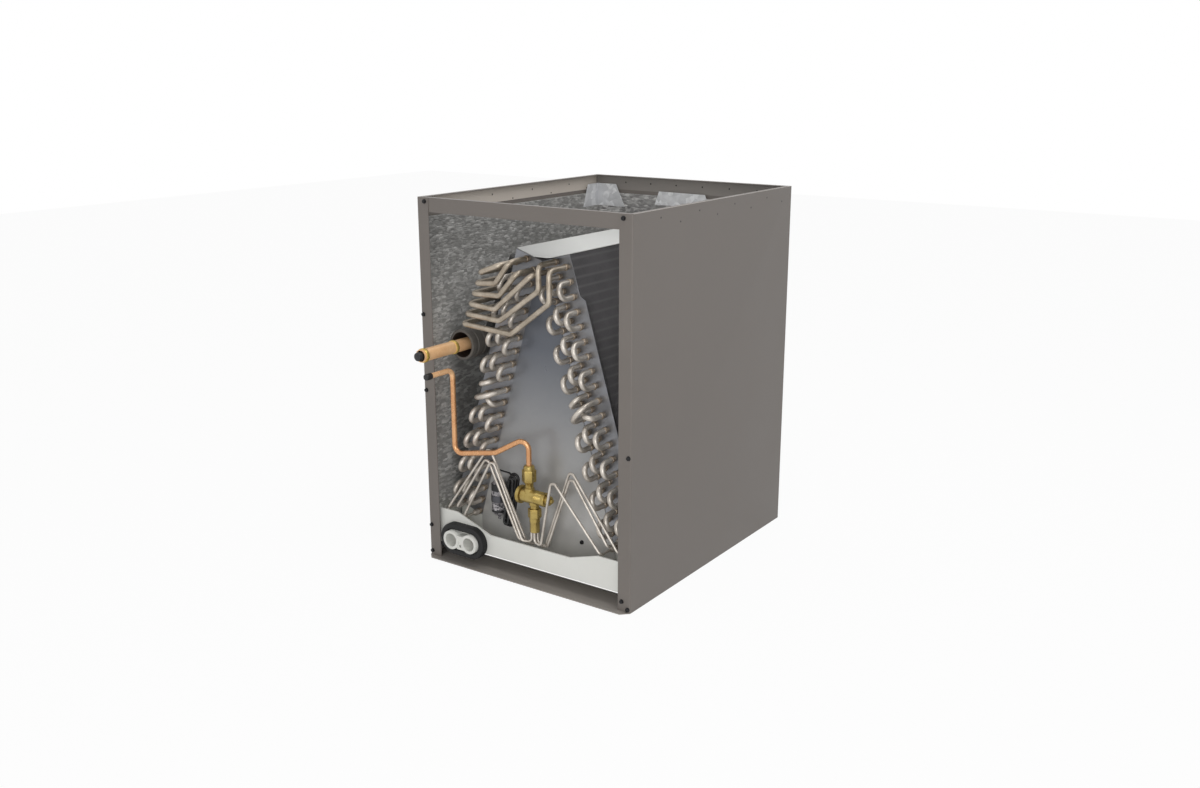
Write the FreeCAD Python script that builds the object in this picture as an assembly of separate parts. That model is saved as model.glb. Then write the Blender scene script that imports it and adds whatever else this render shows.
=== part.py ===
import FreeCAD, Part
import math
import os

from FreeCAD import Placement, Rotation, Vector

os.makedirs("parts", exist_ok=True)

# Evaporator coil: two slanted finned slabs meet at the top like the letter A, inside an open-fronted
# sheet-metal cabinet, and stand in a plastic drain pan.
# Millimetres. X runs left to right seen from the front, Y runs from the front to the back, Z is up.
# The origin is the centre of the air opening in the bottom of the cabinet.

# Cabinet
cabinet_width = 444.5
cabinet_depth = 540.0
cabinet_height = 660.0
sheet = 1.2
corner_radius = 2.5
front_flange = 25.0
top_flange = 10.0
bottom_flange = 20.0
top_rail_height = 25.0
bottom_rail_tab = 24.0
bottom_rail_depth = 52.0
bottom_rail_reach = 13.0
rail_side_gap = 0.3
duct_hole_radius = 1.6
duct_hole_drops = (25.0, 13.0)

# Insulation
liner_thick = 6.0
liner_bottom = 31.0
liner_bare_top = 35.0
liner_front_gap = 8.0

# Coil slabs
slab_side_gap = 14.97
slab_length = 508.0
slab_foot_height = 73.42
apex_half_gap = 1.0
tube_pitch = 25.4
row_pitch = 19.05
rows = 3
tubes_per_row = 20
tube_od = 9.52
tube_wall = 0.7
coil_front = -206.5
coil_back = 206.5
tube_sheet = 1.5
tube_sheet_step = 9.6
tube_sheet_step_start = 72.0
fin_slot = 1.6
fin_slot_pitch = 6.4
fin_slot_depth = 3.5
hairpin_stub = 8.0
return_leg = 17.5
crossover_tube = 9

# Delta plates and apex cap
delta_sheet = 1.0
delta_lap = 3.0
delta_bottom = 36.0
delta_top_drop = 12.0
cap_lap = 1.0
cap_thick = 1.5
cap_front = -262.0
cap_cut_start = -205.0
cap_cut_end = 24.0
cap_corner = 12.0
seat_gap = 0.3

# Drain pan
pan_side_gap = 1.6
pan_front = -262.0
pan_back = 250.0
pan_bottom = 28.0
pan_wall = 3.0
pan_corner = 10.0
pan_middle_height = 38.0
pan_left_height = 66.0
pan_right_height = 55.0
pan_side_height = 52.0
pan_left_slope = (-160.0, -84.0)
pan_right_slope = (92.0, 150.0)
pan_opening_gap = 20.28
pan_opening_front = -197.0
pan_opening_back = 197.0
pan_opening_height = 44.0
rib_count = 5
rib_thick = 4.0
drain_port_insets = (60.6, 102.3)
drain_port_z = 45.5
drain_port_outer = 17.5
drain_port_bore = 12.5
drain_port_reach = 19.0
gasket_length = 100.0
gasket_height = 59.0
gasket_band = 11.0
gasket_depth = 14.0
pan_rail_width = 24.0
pan_rail_rise = 22.0

# Suction side
feeder_plane = -258.0
feeder_bend = 11.0
header_od = 22.2
header_wall = 1.1
header_plane = -165.0
header_top_x = -98.0
header_apex_drop = 22.5
header_lean = 23.5
feeder_spacing = 20.06
header_above_port = 17.0
header_below_port = 11.0
stub_apex_drop = 158.5
stub_bend = 27.0
stub_tip = -345.0
ring_width = 7.0
ring_thick = 1.4
ring_places = (-262.0, -338.0)
bushing_bore = 7.0
bushing_length = 8.0
suction_plug_reach = 9.0
plug_lip = 0.6
boot_outer = 27.5
boot_inner = 22.0
boot_front = -240.0
boot_depth = 48.0
boot_end = 5.0

# Liquid side
liquid_plane = -262.0
liquid_x = -161.0
liquid_stub_drop = 41.0
liquid_tip = -318.0
liquid_low = 206.0
liquid_bend = 14.0
liquid_run_end = 61.0
liquid_run_rise = 18.0
liquid_crest_rise = 54.0
liquid_plug_reach = 13.0

# Expansion valve
valve_x = -7.0
valve_y = -244.0
valve_z = 152.0
valve_radius = 12.5
valve_left = 14.0
valve_right = 38.0
head_radius = 16.5
head_length = 13.0
valve_cap_radius = 8.5
valve_cap_length = 8.0
stem_radius = 4.0
stem_length = 5.0
inlet_nut_flats = 22.0
inlet_nut_height = 30.0
inlet_neck_radius = 7.5
inlet_neck_height = 14.0
outlet_x = 4.0
outlet_nut_flats = 21.0
outlet_nut_height = 17.0
outlet_neck_radius = 8.0
outlet_neck_height = 8.0
distributor_radius = 9.5
distributor_foot = 8.7
distributor_height = 27.0
distributor_ring = 6.2
distributor_tube_od = 4.8
distributor_tube_wall = 0.6
distributor_bend = 7.0
loop_end_plane = -255.5

# Sensing bulb and capillary
bulb_x = -95.0
bulb_z = 98.0
bulb_radius = 13.0
bulb_length = 52.0
bulb_cap = 7.0
bulb_tail = 9.0
bulb_tail_radius = 2.5
clip_width = 12.0
clip_thick = 1.0
clip_foot = 10.0
capillary_od = 5.0
capillary_turns = 3
capillary_lead = 3.0
capillary_bend = 4.0
bulb_lead_rise = 20.0
head_lead_rise = 8.0
head_lead_reach = 8.0
coil_turn_gap = 0.2
coil_x = -58.0
coil_plane = -229.5
coil_z = 129.0
coil_width = 22.0
coil_height = 106.0
coil_lean = 9.0

# Screws
screw_head = 4.0
screw_head_height = 3.2
screw_shank = 1.9
screw_length = 5.0
screw_hole_gap = 0.1
top_screw_drop = 7.0
rail_screw_inset = 17.25
flange_screw_inset = 5.25
lower_rail_screw = 18.0
left_screw_heights = (455.0, 317.0, 60.0, 9.0)
right_screw_heights = (270.0, 6.0)
delta_screw_x = 79.4
delta_screw_rise = 37.0
boss_half = 6.0

# Side and row of the coil tube each feeder ends in, its level run from the header, and its upright end
FEEDERS = [
    (-1, 2, (20, 8), 0),
    (-1, 1, (44, 4), 0),
    (-1, 0, (60, 2), 0),
    (1, 0, (58, -4), 0),
    (1, 1, (76, -4), 42),
    (1, 2, (108, -6), 54),
]

# Drop below the distributor, start of the rising run (X and Y), top of the loop and its plane
LOOPS = {
    (1, 0): (18, (25, -255), (54, 200), -260.5),
    (1, 1): (20, (35, -249), (91, 211), -254.5),
    (1, 2): (26, (24, -241), (87, 220), -250.5),
    (-1, 0): (18, (-16, -255), (-76, 212), -260.5),
    (-1, 1): (20, (-28, -249), (-93, 211), -254.5),
    (-1, 2): (26, (-18, -241), (-90, 229), -251.0),
}

half_width = cabinet_width / 2
half_depth = cabinet_depth / 2
drain_port_x = [inset - half_width for inset in drain_port_insets]
slab_thick = rows * row_pitch
# The slabs lean so that their outer feet keep the same gap to the side liners
foot_reach = half_width - sheet - liner_thick - slab_side_gap
foot_ratio = (foot_reach - apex_half_gap) / math.hypot(slab_length, slab_thick)
tilt = math.asin(foot_ratio) - math.atan(slab_thick / slab_length)
apex_height = slab_foot_height + slab_length * math.cos(tilt)
stub_height = apex_height - stub_apex_drop
tube_radius = tube_od / 2
tube_end_front = coil_front - hairpin_stub
tube_end_back = coil_back + hairpin_stub
bend_radius = tube_pitch / 2
UP = Vector(0, 0, 1)
BACK = Vector(0, 1, 0)
RIGHT = Vector(1, 0, 0)


def save(shape, node):
    shape.exportStep("parts/" + node + ".step")


def box(low, high):
    size = [b - a for a, b in zip(low, high)]
    return Part.makeBox(size[0], size[1], size[2], Vector(*low))


def rod(radius, base, direction, length):
    return Part.makeCylinder(radius, length, base, direction)


def prism(points, direction):
    # Pushes a closed outline along one direction.
    return Part.Face(Part.makePolygon(points + [points[0]])).extrude(direction)


def hex_nut(flats, base, direction, height):
    corner = flats / math.sqrt(3)
    points = [Rotation(UP, 60 * k).multVec(RIGHT * corner) for k in range(6)]
    nut = prism(points, Vector(0, 0, height))
    cone_height = corner * 0.6
    limit = Part.makeCone(corner + cone_height, corner - 0.4, height + cone_height, -UP * cone_height, UP)
    nut = nut.common(limit)
    nut.Placement = Placement(base, Rotation(UP, direction))
    return nut


def mirrored(shape):
    return shape.mirror(Vector(0, 0, 0), RIGHT)


# A path of straight runs, with an arc in each corner.
def rounded_path(points, radius):
    edges = []
    start = points[0]
    for i in range(1, len(points) - 1):
        corner = points[i]
        into = (points[i - 1] - corner).normalize()
        out = (points[i + 1] - corner).normalize()
        half_angle = into.getAngle(out) / 2
        trim = radius / math.tan(half_angle)
        first = corner + into * trim
        last = corner + out * trim
        bisector = (into + out).normalize()
        middle = corner + bisector * (radius / math.sin(half_angle) - radius)
        edges.append(Part.LineSegment(start, first).toShape())
        edges.append(Part.Arc(first, middle, last).toShape())
        start = last
    edges.append(Part.LineSegment(start, points[-1]).toShape())
    return Part.Wire(edges)


def swept(path, points, radius):
    direction = points[1] - points[0]
    ring = Part.Wire(Part.makeCircle(radius, points[0], direction))
    return path.makePipeShell([ring], True, False)


def bent_rod(points, bend, outer_diameter):
    return swept(rounded_path(points, bend), points, outer_diameter / 2)


# A bent tube is open at both ends.
def bent_tube(points, bend, outer_diameter, wall):
    path = rounded_path(points, bend)
    outside = swept(path, points, outer_diameter / 2)
    inside = swept(path, points, outer_diameter / 2 - wall)
    return outside.cut(inside)


# Places in a slab: s runs down the slab from its top end, t runs outwards from its inner face.
def slab_point(side, s, t, y):
    x = apex_half_gap + s * math.sin(tilt) + t * math.cos(tilt)
    z = apex_height - s * math.cos(tilt) + t * math.sin(tilt)
    return Vector(side * x, y, z)


def into_slab(shape):
    # The slab's own axes are X outwards, Y back and Z up the slab, with the origin at the apex.
    placed = shape.copy()
    turn = Placement(Vector(apex_half_gap, 0, apex_height), Rotation(BACK, -math.degrees(tilt)))
    placed.Placement = turn.multiply(placed.Placement)
    return placed


def tube_s(row, index):
    first = tube_pitch / 4 if row % 2 else tube_pitch * 3 / 4
    return first + index * tube_pitch


def row_t(row):
    return (row + 0.5) * row_pitch


# Cabinet
def wrapper():
    outer = box((-half_width, -half_depth, 0), (half_width, half_depth, cabinet_height))
    upright = [e for e in outer.Edges if abs(e.tangentAt(e.FirstParameter).z) > 0.9]
    outer = outer.makeFillet(corner_radius, upright)
    inner = box((-half_width + sheet, -half_depth + sheet, -1),
                (half_width - sheet, half_depth - sheet, cabinet_height + 1))
    upright = [e for e in inner.Edges if abs(e.tangentAt(e.FirstParameter).z) > 0.9]
    inner = inner.makeFillet(corner_radius - sheet, upright)
    opening = box((-half_width + front_flange, -half_depth - 1, -1),
                  (half_width - front_flange, -half_depth + 2 * sheet, cabinet_height + 1))
    walls = outer.cut(inner).cut(opening)
    flanges = [(top_flange, cabinet_height - sheet), (bottom_flange, 0)]
    for width, level in flanges:
        ring = box((-half_width + sheet / 2, -half_depth + 2 * sheet + rail_side_gap, level),
                   (half_width - sheet / 2, half_depth - sheet / 2, level + sheet))
        hole = box((-half_width + width, -half_depth, level - 1),
                   (half_width - width, half_depth - width, level + 2 * sheet))
        walls = walls.fuse(ring.cut(hole))
    walls = walls.cut(Part.makeCompound(screw_holes() + duct_holes()))
    return walls.removeSplitter()


def screw_places():
    rail_x = half_width - rail_screw_inset
    flange_x = half_width - flange_screw_inset
    top = cabinet_height - top_screw_drop
    places = [(-rail_x, top), (rail_x, top), (rail_x, lower_rail_screw)]
    places += [(-flange_x, height) for height in left_screw_heights]
    places += [(flange_x, height) for height in right_screw_heights]
    return places


def screw_holes():
    start = -half_depth - 1
    radius = screw_shank + screw_hole_gap
    return [rod(radius, Vector(x, start, z), BACK, screw_length + 2) for x, z in screw_places()]


# Small holes near the top edges, for fixing a duct.
def duct_holes():
    low = cabinet_height - duct_hole_drops[0]
    high = cabinet_height - duct_hole_drops[1]
    holes = []
    for number, y in enumerate(range(-190, 240, 60)):
        level = low if number % 2 else high
        holes.append(rod(duct_hole_radius, Vector(-half_width - 1, y, level), RIGHT, 3))
        holes.append(rod(duct_hole_radius, Vector(half_width - 2, y, level), RIGHT, 3))
    for x in range(-150, 180, 60):
        holes.append(rod(duct_hole_radius, Vector(x, half_depth - 2, high), BACK, 3))
    return holes


def top_front_rail():
    reach = half_width - corner_radius - rail_side_gap
    front = -half_depth + sheet
    top = cabinet_height
    face = box((-reach, front, top - top_rail_height), (reach, front + sheet, top))
    shelf = box((-half_width + top_flange + rail_side_gap, front, top - sheet),
                (half_width - top_flange - rail_side_gap, front + top_flange, top))
    hem = box((-reach + front_flange, front, top - top_rail_height),
              (reach - front_flange, front + top_flange, top - top_rail_height + sheet))
    rail = face.fuse([shelf, hem]).cut(Part.makeCompound(screw_holes()))
    return rail.removeSplitter()


def bottom_front_rail():
    # A flat ledge reaches out in front of the flanges, and a tab stands up behind each flange.
    ledge = prism([Vector(x, y, 0) for x, y in ledge_outline()], Vector(0, 0, sheet))
    reach = half_width - corner_radius - rail_side_gap
    front = -half_depth + sheet
    tab_reach = half_width - front_flange
    tab = box((tab_reach, front, 0), (reach, front + sheet, bottom_rail_tab))
    rail = ledge.fuse([tab, mirrored(tab)]).cut(Part.makeCompound(screw_holes()))
    return rail.removeSplitter()


def ledge_outline():
    inner = half_width - bottom_flange - rail_side_gap
    neck = half_width - front_flange - rail_side_gap
    back = -half_depth + sheet + bottom_rail_depth
    front = -half_depth + sheet
    face = -half_depth - rail_side_gap
    right = [(inner, back), (inner, front), (neck, front), (neck, face), (half_width, face),
             (half_width - bottom_rail_reach, -half_depth - bottom_rail_reach)]
    return right + [(-x, y) for x, y in reversed(right)]


def liner(side):
    front = -half_depth + liner_front_gap
    back = half_depth - sheet
    low = liner_bottom
    high = cabinet_height - liner_bare_top
    wall = half_width - sheet
    if side == "back":
        reach = half_width - corner_radius - rail_side_gap
        return box((-reach, back - liner_thick, low), (reach, back, high))
    plate = box((wall - liner_thick, front, low), (wall, back - liner_thick, high))
    return plate if side == "right" else mirrored(plate)


# Coil slabs, made for the right side and mirrored for the left
def tube_holes(front, length):
    holes = []
    for row in range(rows):
        for index in range(tubes_per_row):
            holes.append(rod(tube_radius, Vector(row_t(row), front, -tube_s(row, index)), BACK, length))
    return Part.makeCompound(holes)


def fin_pack():
    front = coil_front + tube_sheet
    back = coil_back - tube_sheet
    slots = int((back - front - fin_slot) // fin_slot_pitch)
    start = (front + back - (slots - 1) * fin_slot_pitch - fin_slot) / 2
    inner = [(0, front)]
    outer = [(slab_thick, front)]
    for k in range(slots):
        y = start + k * fin_slot_pitch
        inner += [(0, y), (fin_slot_depth, y), (fin_slot_depth, y + fin_slot), (0, y + fin_slot)]
        outer += [(slab_thick, y), (slab_thick - fin_slot_depth, y),
                  (slab_thick - fin_slot_depth, y + fin_slot), (slab_thick, y + fin_slot)]
    inner.append((0, back))
    outer.append((slab_thick, back))
    outline = [Vector(x, y, -slab_length) for x, y in inner + outer[::-1]]
    comb = prism(outline, Vector(0, 0, slab_length))
    return comb.cut(tube_holes(front - 1, back - front + 2))


def tube_sheet_plate(front):
    step = slab_thick + tube_sheet_step
    outline = [(0, 0), (slab_thick, 0), (slab_thick, -tube_sheet_step_start),
               (step, -tube_sheet_step_start - tube_sheet_step), (step, -slab_length), (0, -slab_length)]
    plate = prism([Vector(x, front, z) for x, z in outline], Vector(0, tube_sheet, 0))
    return plate.cut(tube_holes(front - 1, tube_sheet + 2))


# One hairpin has two legs, and its closed end is behind the rear tube sheet.
def hairpin():
    leg = Vector(0, tube_end_front, 0)
    far = Vector(0, tube_end_back + bend_radius, 0)
    drop = Vector(0, 0, -tube_pitch)
    points = [leg, far, far + drop, leg + drop]
    return u_tube(points)


def u_tube(points):
    # A half circle joins two parallel legs.
    first, far, far_other, last = points
    span = (far_other - far).Length
    inward = (far - first).normalize()
    turn_start = far - inward * (span / 2)
    turn_end = far_other - inward * (span / 2)
    middle = (far + far_other) * 0.5
    edges = [Part.LineSegment(first, turn_start).toShape(), Part.Arc(turn_start, middle, turn_end).toShape(),
             Part.LineSegment(turn_end, last).toShape()]
    path = Part.Wire(edges)
    outside = swept(path, points, tube_radius)
    inside = swept(path, points, tube_radius - tube_wall)
    return outside.cut(inside)


def hairpins():
    pieces = []
    pattern = hairpin()
    for row in range(rows):
        for index in range(0, tubes_per_row, 2):
            copy = pattern.copy()
            copy.translate(Vector(row_t(row), 0, -tube_s(row, index)))
            pieces.append(copy)
    return Part.makeCompound(pieces)


def front_bend(start, end):
    # Joins two tube ends on the front, each given by its place on the slab.
    span = math.dist(start, end)
    far_y = tube_end_front - return_leg - span / 2
    first = Vector(start[1], tube_end_front, -start[0])
    last = Vector(end[1], tube_end_front, -end[0])
    far = Vector(first.x, far_y, first.z)
    far_other = Vector(last.x, far_y, last.z)
    return u_tube([first, far, far_other, last])


def return_bends():
    pieces = []
    pattern = front_bend((0, 0), (tube_pitch, 0))
    for row in range(rows):
        for index in range(1, tubes_per_row - 1, 2):
            if index != crossover_tube:
                copy = pattern.copy()
                copy.translate(Vector(row_t(row), 0, -tube_s(row, index)))
                pieces.append(copy)
    return Part.makeCompound(pieces)


# Half way down, three bends pass the refrigerant from row to row. The long one joins the two outer rows.
def crossover_bends(start_row, end_row):
    upper = crossover_tube
    lower = crossover_tube + 1
    middle_row = (start_row + end_row) // 2
    joins = [((start_row, upper), (end_row, lower)),
             ((start_row, lower), (middle_row, lower)),
             ((middle_row, upper), (end_row, upper))]
    pieces = []
    for (row_a, index_a), (row_b, index_b) in joins:
        start = (tube_s(row_a, index_a), row_t(row_a))
        end = (tube_s(row_b, index_b), row_t(row_b))
        pieces.append(front_bend(start, end))
    return Part.makeCompound(pieces)


# The delta plates close the two ends of the space between the slabs.
def delta_plate(face, direction):
    slope = math.tan(tilt)
    top = apex_height - delta_top_drop
    end = slab_point(1, slab_length, 0, 0)
    lap = delta_lap / math.cos(tilt)
    top_x = apex_half_gap + (apex_height - top) * slope + lap
    end_x = end.x + lap
    outline = [(top_x, top), (end_x, end.z), (end_x, delta_bottom),
               (-end_x, delta_bottom), (-end_x, end.z), (-top_x, top)]
    plate = prism([Vector(x, face, z) for x, z in outline], Vector(0, direction * delta_sheet, 0))
    holes = [rod(screw_shank + screw_hole_gap, Vector(x, face - 2, delta_screw_z()), BACK, 4)
             for x in (-delta_screw_x, delta_screw_x)]
    return plate.cut(Part.makeCompound(holes))


def delta_screw_z():
    return delta_bottom + delta_screw_rise


def delta_screws():
    face = coil_front - delta_sheet
    pieces = [screw(Vector(x, face, delta_screw_z())) for x in (-delta_screw_x, delta_screw_x)]
    return Part.makeCompound(pieces)


def screw(place):
    # A flanged head with six flats, and a plain shank.
    flange = rod(screw_head, place, -BACK, screw_head_height * 0.35)
    head = hex_nut(screw_head * 1.5, place, -BACK, screw_head_height)
    shank = rod(screw_shank, place, BACK, screw_length)
    return flange.fuse([head, shank]).removeSplitter()


def cabinet_screws():
    return Part.makeCompound([screw(Vector(x, -half_depth, z)) for x, z in screw_places()])


# The apex cap is a flat plate over the top ends of the two slabs, cut back at its front left corner.
def apex_cap():
    corner = slab_point(1, 0, slab_thick, 0)
    reach = corner.x + cap_lap
    level = corner.z + seat_gap
    outline = [(-reach, coil_back), (-reach, cap_cut_start), (cap_cut_end, cap_front),
               (reach, cap_front), (reach, coil_back)]
    plate = prism([Vector(x, y, level) for x, y in outline], Vector(0, 0, cap_thick))
    nose = [e for e in plate.Edges
            if abs(e.tangentAt(e.FirstParameter).z) > 0.9 and abs(e.CenterOfMass.y - cap_front) < 0.01]
    return plate.makeFillet(cap_corner, nose)


# Drain pan
def pan_half_width():
    return half_width - sheet - liner_thick - pan_side_gap


def wall_outline():
    # The front wall seen from the front: low in the middle and raised at both ends.
    reach = pan_half_width()
    middle = pan_bottom + pan_middle_height
    left = pan_bottom + pan_left_height
    right = pan_bottom + pan_right_height
    return [(-reach, pan_bottom), (-reach, left), (pan_left_slope[0], left), (pan_left_slope[1], middle),
            (pan_right_slope[0], middle), (pan_right_slope[1], right), (reach, right), (reach, pan_bottom)]


def drain_pan():
    reach = pan_half_width()
    top = pan_bottom + pan_side_height
    tall = pan_bottom + max(pan_left_height, pan_right_height)
    outer = box((-reach, pan_front, pan_bottom), (reach, pan_back, tall))
    upright = [e for e in outer.Edges if abs(e.tangentAt(e.FirstParameter).z) > 0.9]
    outer = outer.makeFillet(pan_corner, upright)
    hollow = box((-reach + pan_wall, pan_front + pan_wall, pan_bottom + pan_wall),
                 (reach - pan_wall, pan_back - pan_wall, tall + 1))
    upright = [e for e in hollow.Edges if abs(e.tangentAt(e.FirstParameter).z) > 0.9]
    hollow = hollow.makeFillet(pan_corner - pan_wall, upright)
    pan = outer.cut(hollow)
    trim_start = pan_front + pan_corner + pan_wall
    pan = pan.cut(box((-reach - 1, trim_start, top), (reach + 1, pan_back + 1, tall + 1)))
    outline = wall_outline()
    above = [Vector(x, pan_front - 1, z) for x, z in outline[1:-1]]
    above += [Vector(reach, pan_front - 1, tall + 1), Vector(-reach, pan_front - 1, tall + 1)]
    if tall > outline[1][1] or tall > outline[-2][1]:
        pan = pan.cut(prism(above, Vector(0, pan_corner + pan_wall + 1, 0)))
    pan = pan.fuse(port_bodies()).cut(rim_block(pan_wall))
    pan = pan.cut(Part.makeCompound(port_bores()))
    return pan.removeSplitter()


def pan_opening_half():
    return slab_point(1, slab_length, 0, 0).x - pan_wall - pan_opening_gap


def rim_block(wall):
    reach = pan_opening_half() + wall
    return box((-reach, pan_opening_front - wall, pan_bottom),
               (reach, pan_opening_back + wall, pan_bottom + pan_opening_height))


# A raised rim keeps the water out of the air opening.
def pan_opening_rim():
    return rim_block(pan_wall).cut(rim_block(0))


# Ribs across the two side troughs carry the slabs.
def pan_ribs():
    floor = pan_bottom + pan_wall
    inner = slab_point(1, slab_length + seat_gap, 0, 0)
    outer = slab_point(1, slab_length + seat_gap, slab_thick, 0)
    foot_in = pan_opening_half() + pan_wall
    foot_top = pan_bottom + pan_opening_height - pan_wall
    ribs = []
    span = coil_back - coil_front - 2 * rib_thick
    for k in range(rib_count):
        y = coil_front + rib_thick / 2 + k * span / (rib_count - 1)
        outline = [(foot_in, floor), (foot_in, foot_top), (inner.x, inner.z),
                   (outer.x, outer.z), (outer.x, floor)]
        rib = prism([Vector(x, y, z) for x, z in outline], Vector(0, rib_thick, 0))
        ribs += [rib, mirrored(rib)]
    return Part.makeCompound(ribs)


# Two bosses on the opening's front rim take the delta plate's screws.
def pan_bosses():
    start = coil_front + seat_gap
    length = pan_opening_front - pan_wall - start
    z = delta_screw_z()
    foot = pan_bottom + pan_opening_height - pan_wall
    bosses = []
    for x in (-delta_screw_x, delta_screw_x):
        low = (x - boss_half, start, foot - boss_half)
        bosses.append(box(low, (x + boss_half, start + length, z + boss_half)))
    return Part.makeCompound(bosses).cut(Part.makeCompound(boss_holes()))


def boss_holes():
    places = (-delta_screw_x, delta_screw_x)
    return [rod(screw_shank, Vector(x, coil_front, delta_screw_z()), BACK, screw_length) for x in places]


def port_bodies():
    start = pan_front - drain_port_reach
    length = drain_port_reach + pan_wall
    return [rod(drain_port_outer, Vector(x, start, drain_port_z), BACK, length) for x in drain_port_x]


def port_bores():
    start = pan_front - drain_port_reach - 1
    length = drain_port_reach + pan_wall + 2
    return [rod(drain_port_bore, Vector(x, start, drain_port_z), BACK, length) for x in drain_port_x]


def stadium(length, height, y, depth):
    radius = height / 2
    reach = length / 2 - radius
    x = sum(drain_port_x) / 2
    middle = box((x - reach, y, drain_port_z - radius), (x + reach, y + depth, drain_port_z + radius))
    ends = [rod(radius, Vector(x + side * reach, y, drain_port_z), BACK, depth) for side in (-1, 1)]
    return middle.fuse(ends).removeSplitter()


def drain_gasket():
    start = pan_front - gasket_depth
    outer = stadium(gasket_length, gasket_height, start, gasket_depth)
    hole_length = gasket_length - 2 * gasket_band
    hole_height = gasket_height - 2 * gasket_band
    inner = stadium(hole_length, hole_height, start - 1, gasket_depth + 2)
    ring = outer.cut(inner)
    front_edges = [e for e in ring.Edges if abs(e.CenterOfMass.y - start) < 0.01]
    return ring.makeFillet(3.0, front_edges)


def pan_rail(side):
    wall = half_width - sheet
    top = pan_bottom
    low = top - pan_rail_rise
    front = -half_depth + liner_front_gap
    back = pan_back
    upright = box((wall - sheet, front, low), (wall, back, top))
    shelf = box((wall - pan_rail_width, front, top - sheet), (wall, back, top))
    rail = upright.fuse(shelf).removeSplitter()
    return rail if side == "right" else mirrored(rail)


# Suction side
def header_axis(distance):
    # A place on the header's axis, measured down from the highest feeder.
    lean = math.radians(header_lean)
    x = header_top_x - distance * math.sin(lean)
    z = apex_height - header_apex_drop - distance * math.cos(lean)
    return Vector(x, header_plane, z)


def feeder_points(number):
    side, row, knee, riser = FEEDERS[number]
    port = header_axis(number * feeder_spacing)
    port.y = header_plane - header_od / 2 + header_wall
    start = Vector(port.x, feeder_plane, port.z)
    end = slab_point(side, tube_s(row, 0), row_t(row), tube_end_front)
    turn = Vector(end.x, feeder_plane, end.z)
    points = [port, start, start + Vector(knee[0], 0, knee[1])]
    if riser:
        points.append(turn - Vector(0, 0, riser))
    return points + [turn, end]


def suction_feeder(number):
    return bent_tube(feeder_points(number), feeder_bend, tube_od, tube_wall)


def header_length():
    return header_above_port + (len(FEEDERS) - 1) * feeder_spacing + header_below_port


def suction_header():
    top = header_axis(-header_above_port)
    bottom = header_axis(header_length() - header_above_port)
    direction = bottom - top
    outer = rod(header_od / 2, top, direction, header_length())
    inner = rod(header_od / 2 - header_wall, top, direction, header_length())
    holes = []
    for number in range(len(FEEDERS)):
        port = header_axis(number * feeder_spacing)
        holes.append(rod(tube_radius, port - BACK * header_od, BACK, header_od))
    return outer.cut(inner).cut(Part.makeCompound(holes))


def header_cap():
    top = header_axis(-header_above_port)
    direction = header_axis(-header_above_port - 1) - top
    plug = rod(header_od / 2 - header_wall, top, -direction, 5)
    lid = rod(header_od / 2, top, direction, 2)
    return lid.fuse(plug).removeSplitter()


def stub_corner():
    last = header_axis(header_length() - header_above_port)
    reach = (last.z - stub_height) / math.cos(math.radians(header_lean))
    return header_axis(header_length() - header_above_port + reach)


def suction_stub():
    corner = stub_corner()
    start = header_axis(header_length() - header_above_port)
    end = Vector(corner.x, stub_tip, corner.z)
    return bent_tube([start, corner, end], stub_bend, header_od, header_wall)


def suction_rings():
    corner = stub_corner()
    rings = []
    for y in ring_places:
        base = Vector(corner.x, y - ring_width / 2, corner.z)
        ring = rod(header_od / 2 + ring_thick, base, BACK, ring_width)
        rings.append(ring.cut(rod(header_od / 2, base - BACK, BACK, ring_width + 2)))
    # A bushing narrows the stub's mouth.
    bushing = rod(header_od / 2 - header_wall, stub_mouth(), BACK, bushing_length)
    rings.append(bushing.cut(rod(bushing_bore, stub_mouth() - BACK, BACK, bushing_length + 2)))
    return Part.makeCompound(rings)


def stub_mouth():
    corner = stub_corner()
    return Vector(corner.x, stub_tip, corner.z)


def suction_plug():
    inside = rod(bushing_bore, stub_mouth(), BACK, bushing_length)
    nose = rod(bushing_bore + plug_lip, stub_mouth(), -BACK, suction_plug_reach)
    nose_edge = [e for e in nose.Edges if abs(e.CenterOfMass.y - (stub_tip - suction_plug_reach)) < 0.01]
    return inside.fuse(nose.makeFillet(2.0, nose_edge)).removeSplitter()


def suction_boot():
    corner = stub_corner()
    front = Vector(corner.x, boot_front, corner.z)
    outer = rod(boot_outer, front, BACK, boot_depth)
    hollow = rod(boot_inner, front - BACK, BACK, boot_depth - boot_end + 1)
    passage = rod(header_od / 2, front, BACK, boot_depth + 1)
    boot = outer.cut(hollow).cut(passage)
    rim = [e for e in boot.Edges if abs(e.CenterOfMass.y - boot_front) < 0.01]
    return boot.makeFillet(1.5, rim)


# Liquid side
def liquid_points():
    x = liquid_x
    z = stub_height - liquid_stub_drop
    top = valve_z + valve_radius + inlet_neck_height + inlet_nut_height
    return [Vector(x, liquid_tip, z), Vector(x, liquid_plane, z), Vector(x, liquid_plane, liquid_low),
            Vector(valve_x - liquid_run_end, liquid_plane + 2, liquid_low + liquid_run_rise),
            Vector(valve_x, valve_y, liquid_low + liquid_crest_rise),
            Vector(valve_x, valve_y, top - inlet_nut_height * 0.6)]


def liquid_line():
    return bent_tube(liquid_points(), liquid_bend, tube_od, tube_wall)


def liquid_plug():
    mouth = liquid_points()[0]
    inside = rod(tube_radius - tube_wall, mouth, BACK, 6)
    body = rod(tube_radius + 1.2, mouth, -BACK, liquid_plug_reach)
    edge = [e for e in body.Edges if abs(e.CenterOfMass.y - (liquid_tip - liquid_plug_reach)) < 0.01]
    return inside.fuse(body.makeFillet(2.0, edge)).removeSplitter()


# Expansion valve
def valve_axis(x):
    return Vector(x, valve_y, valve_z)


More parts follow.
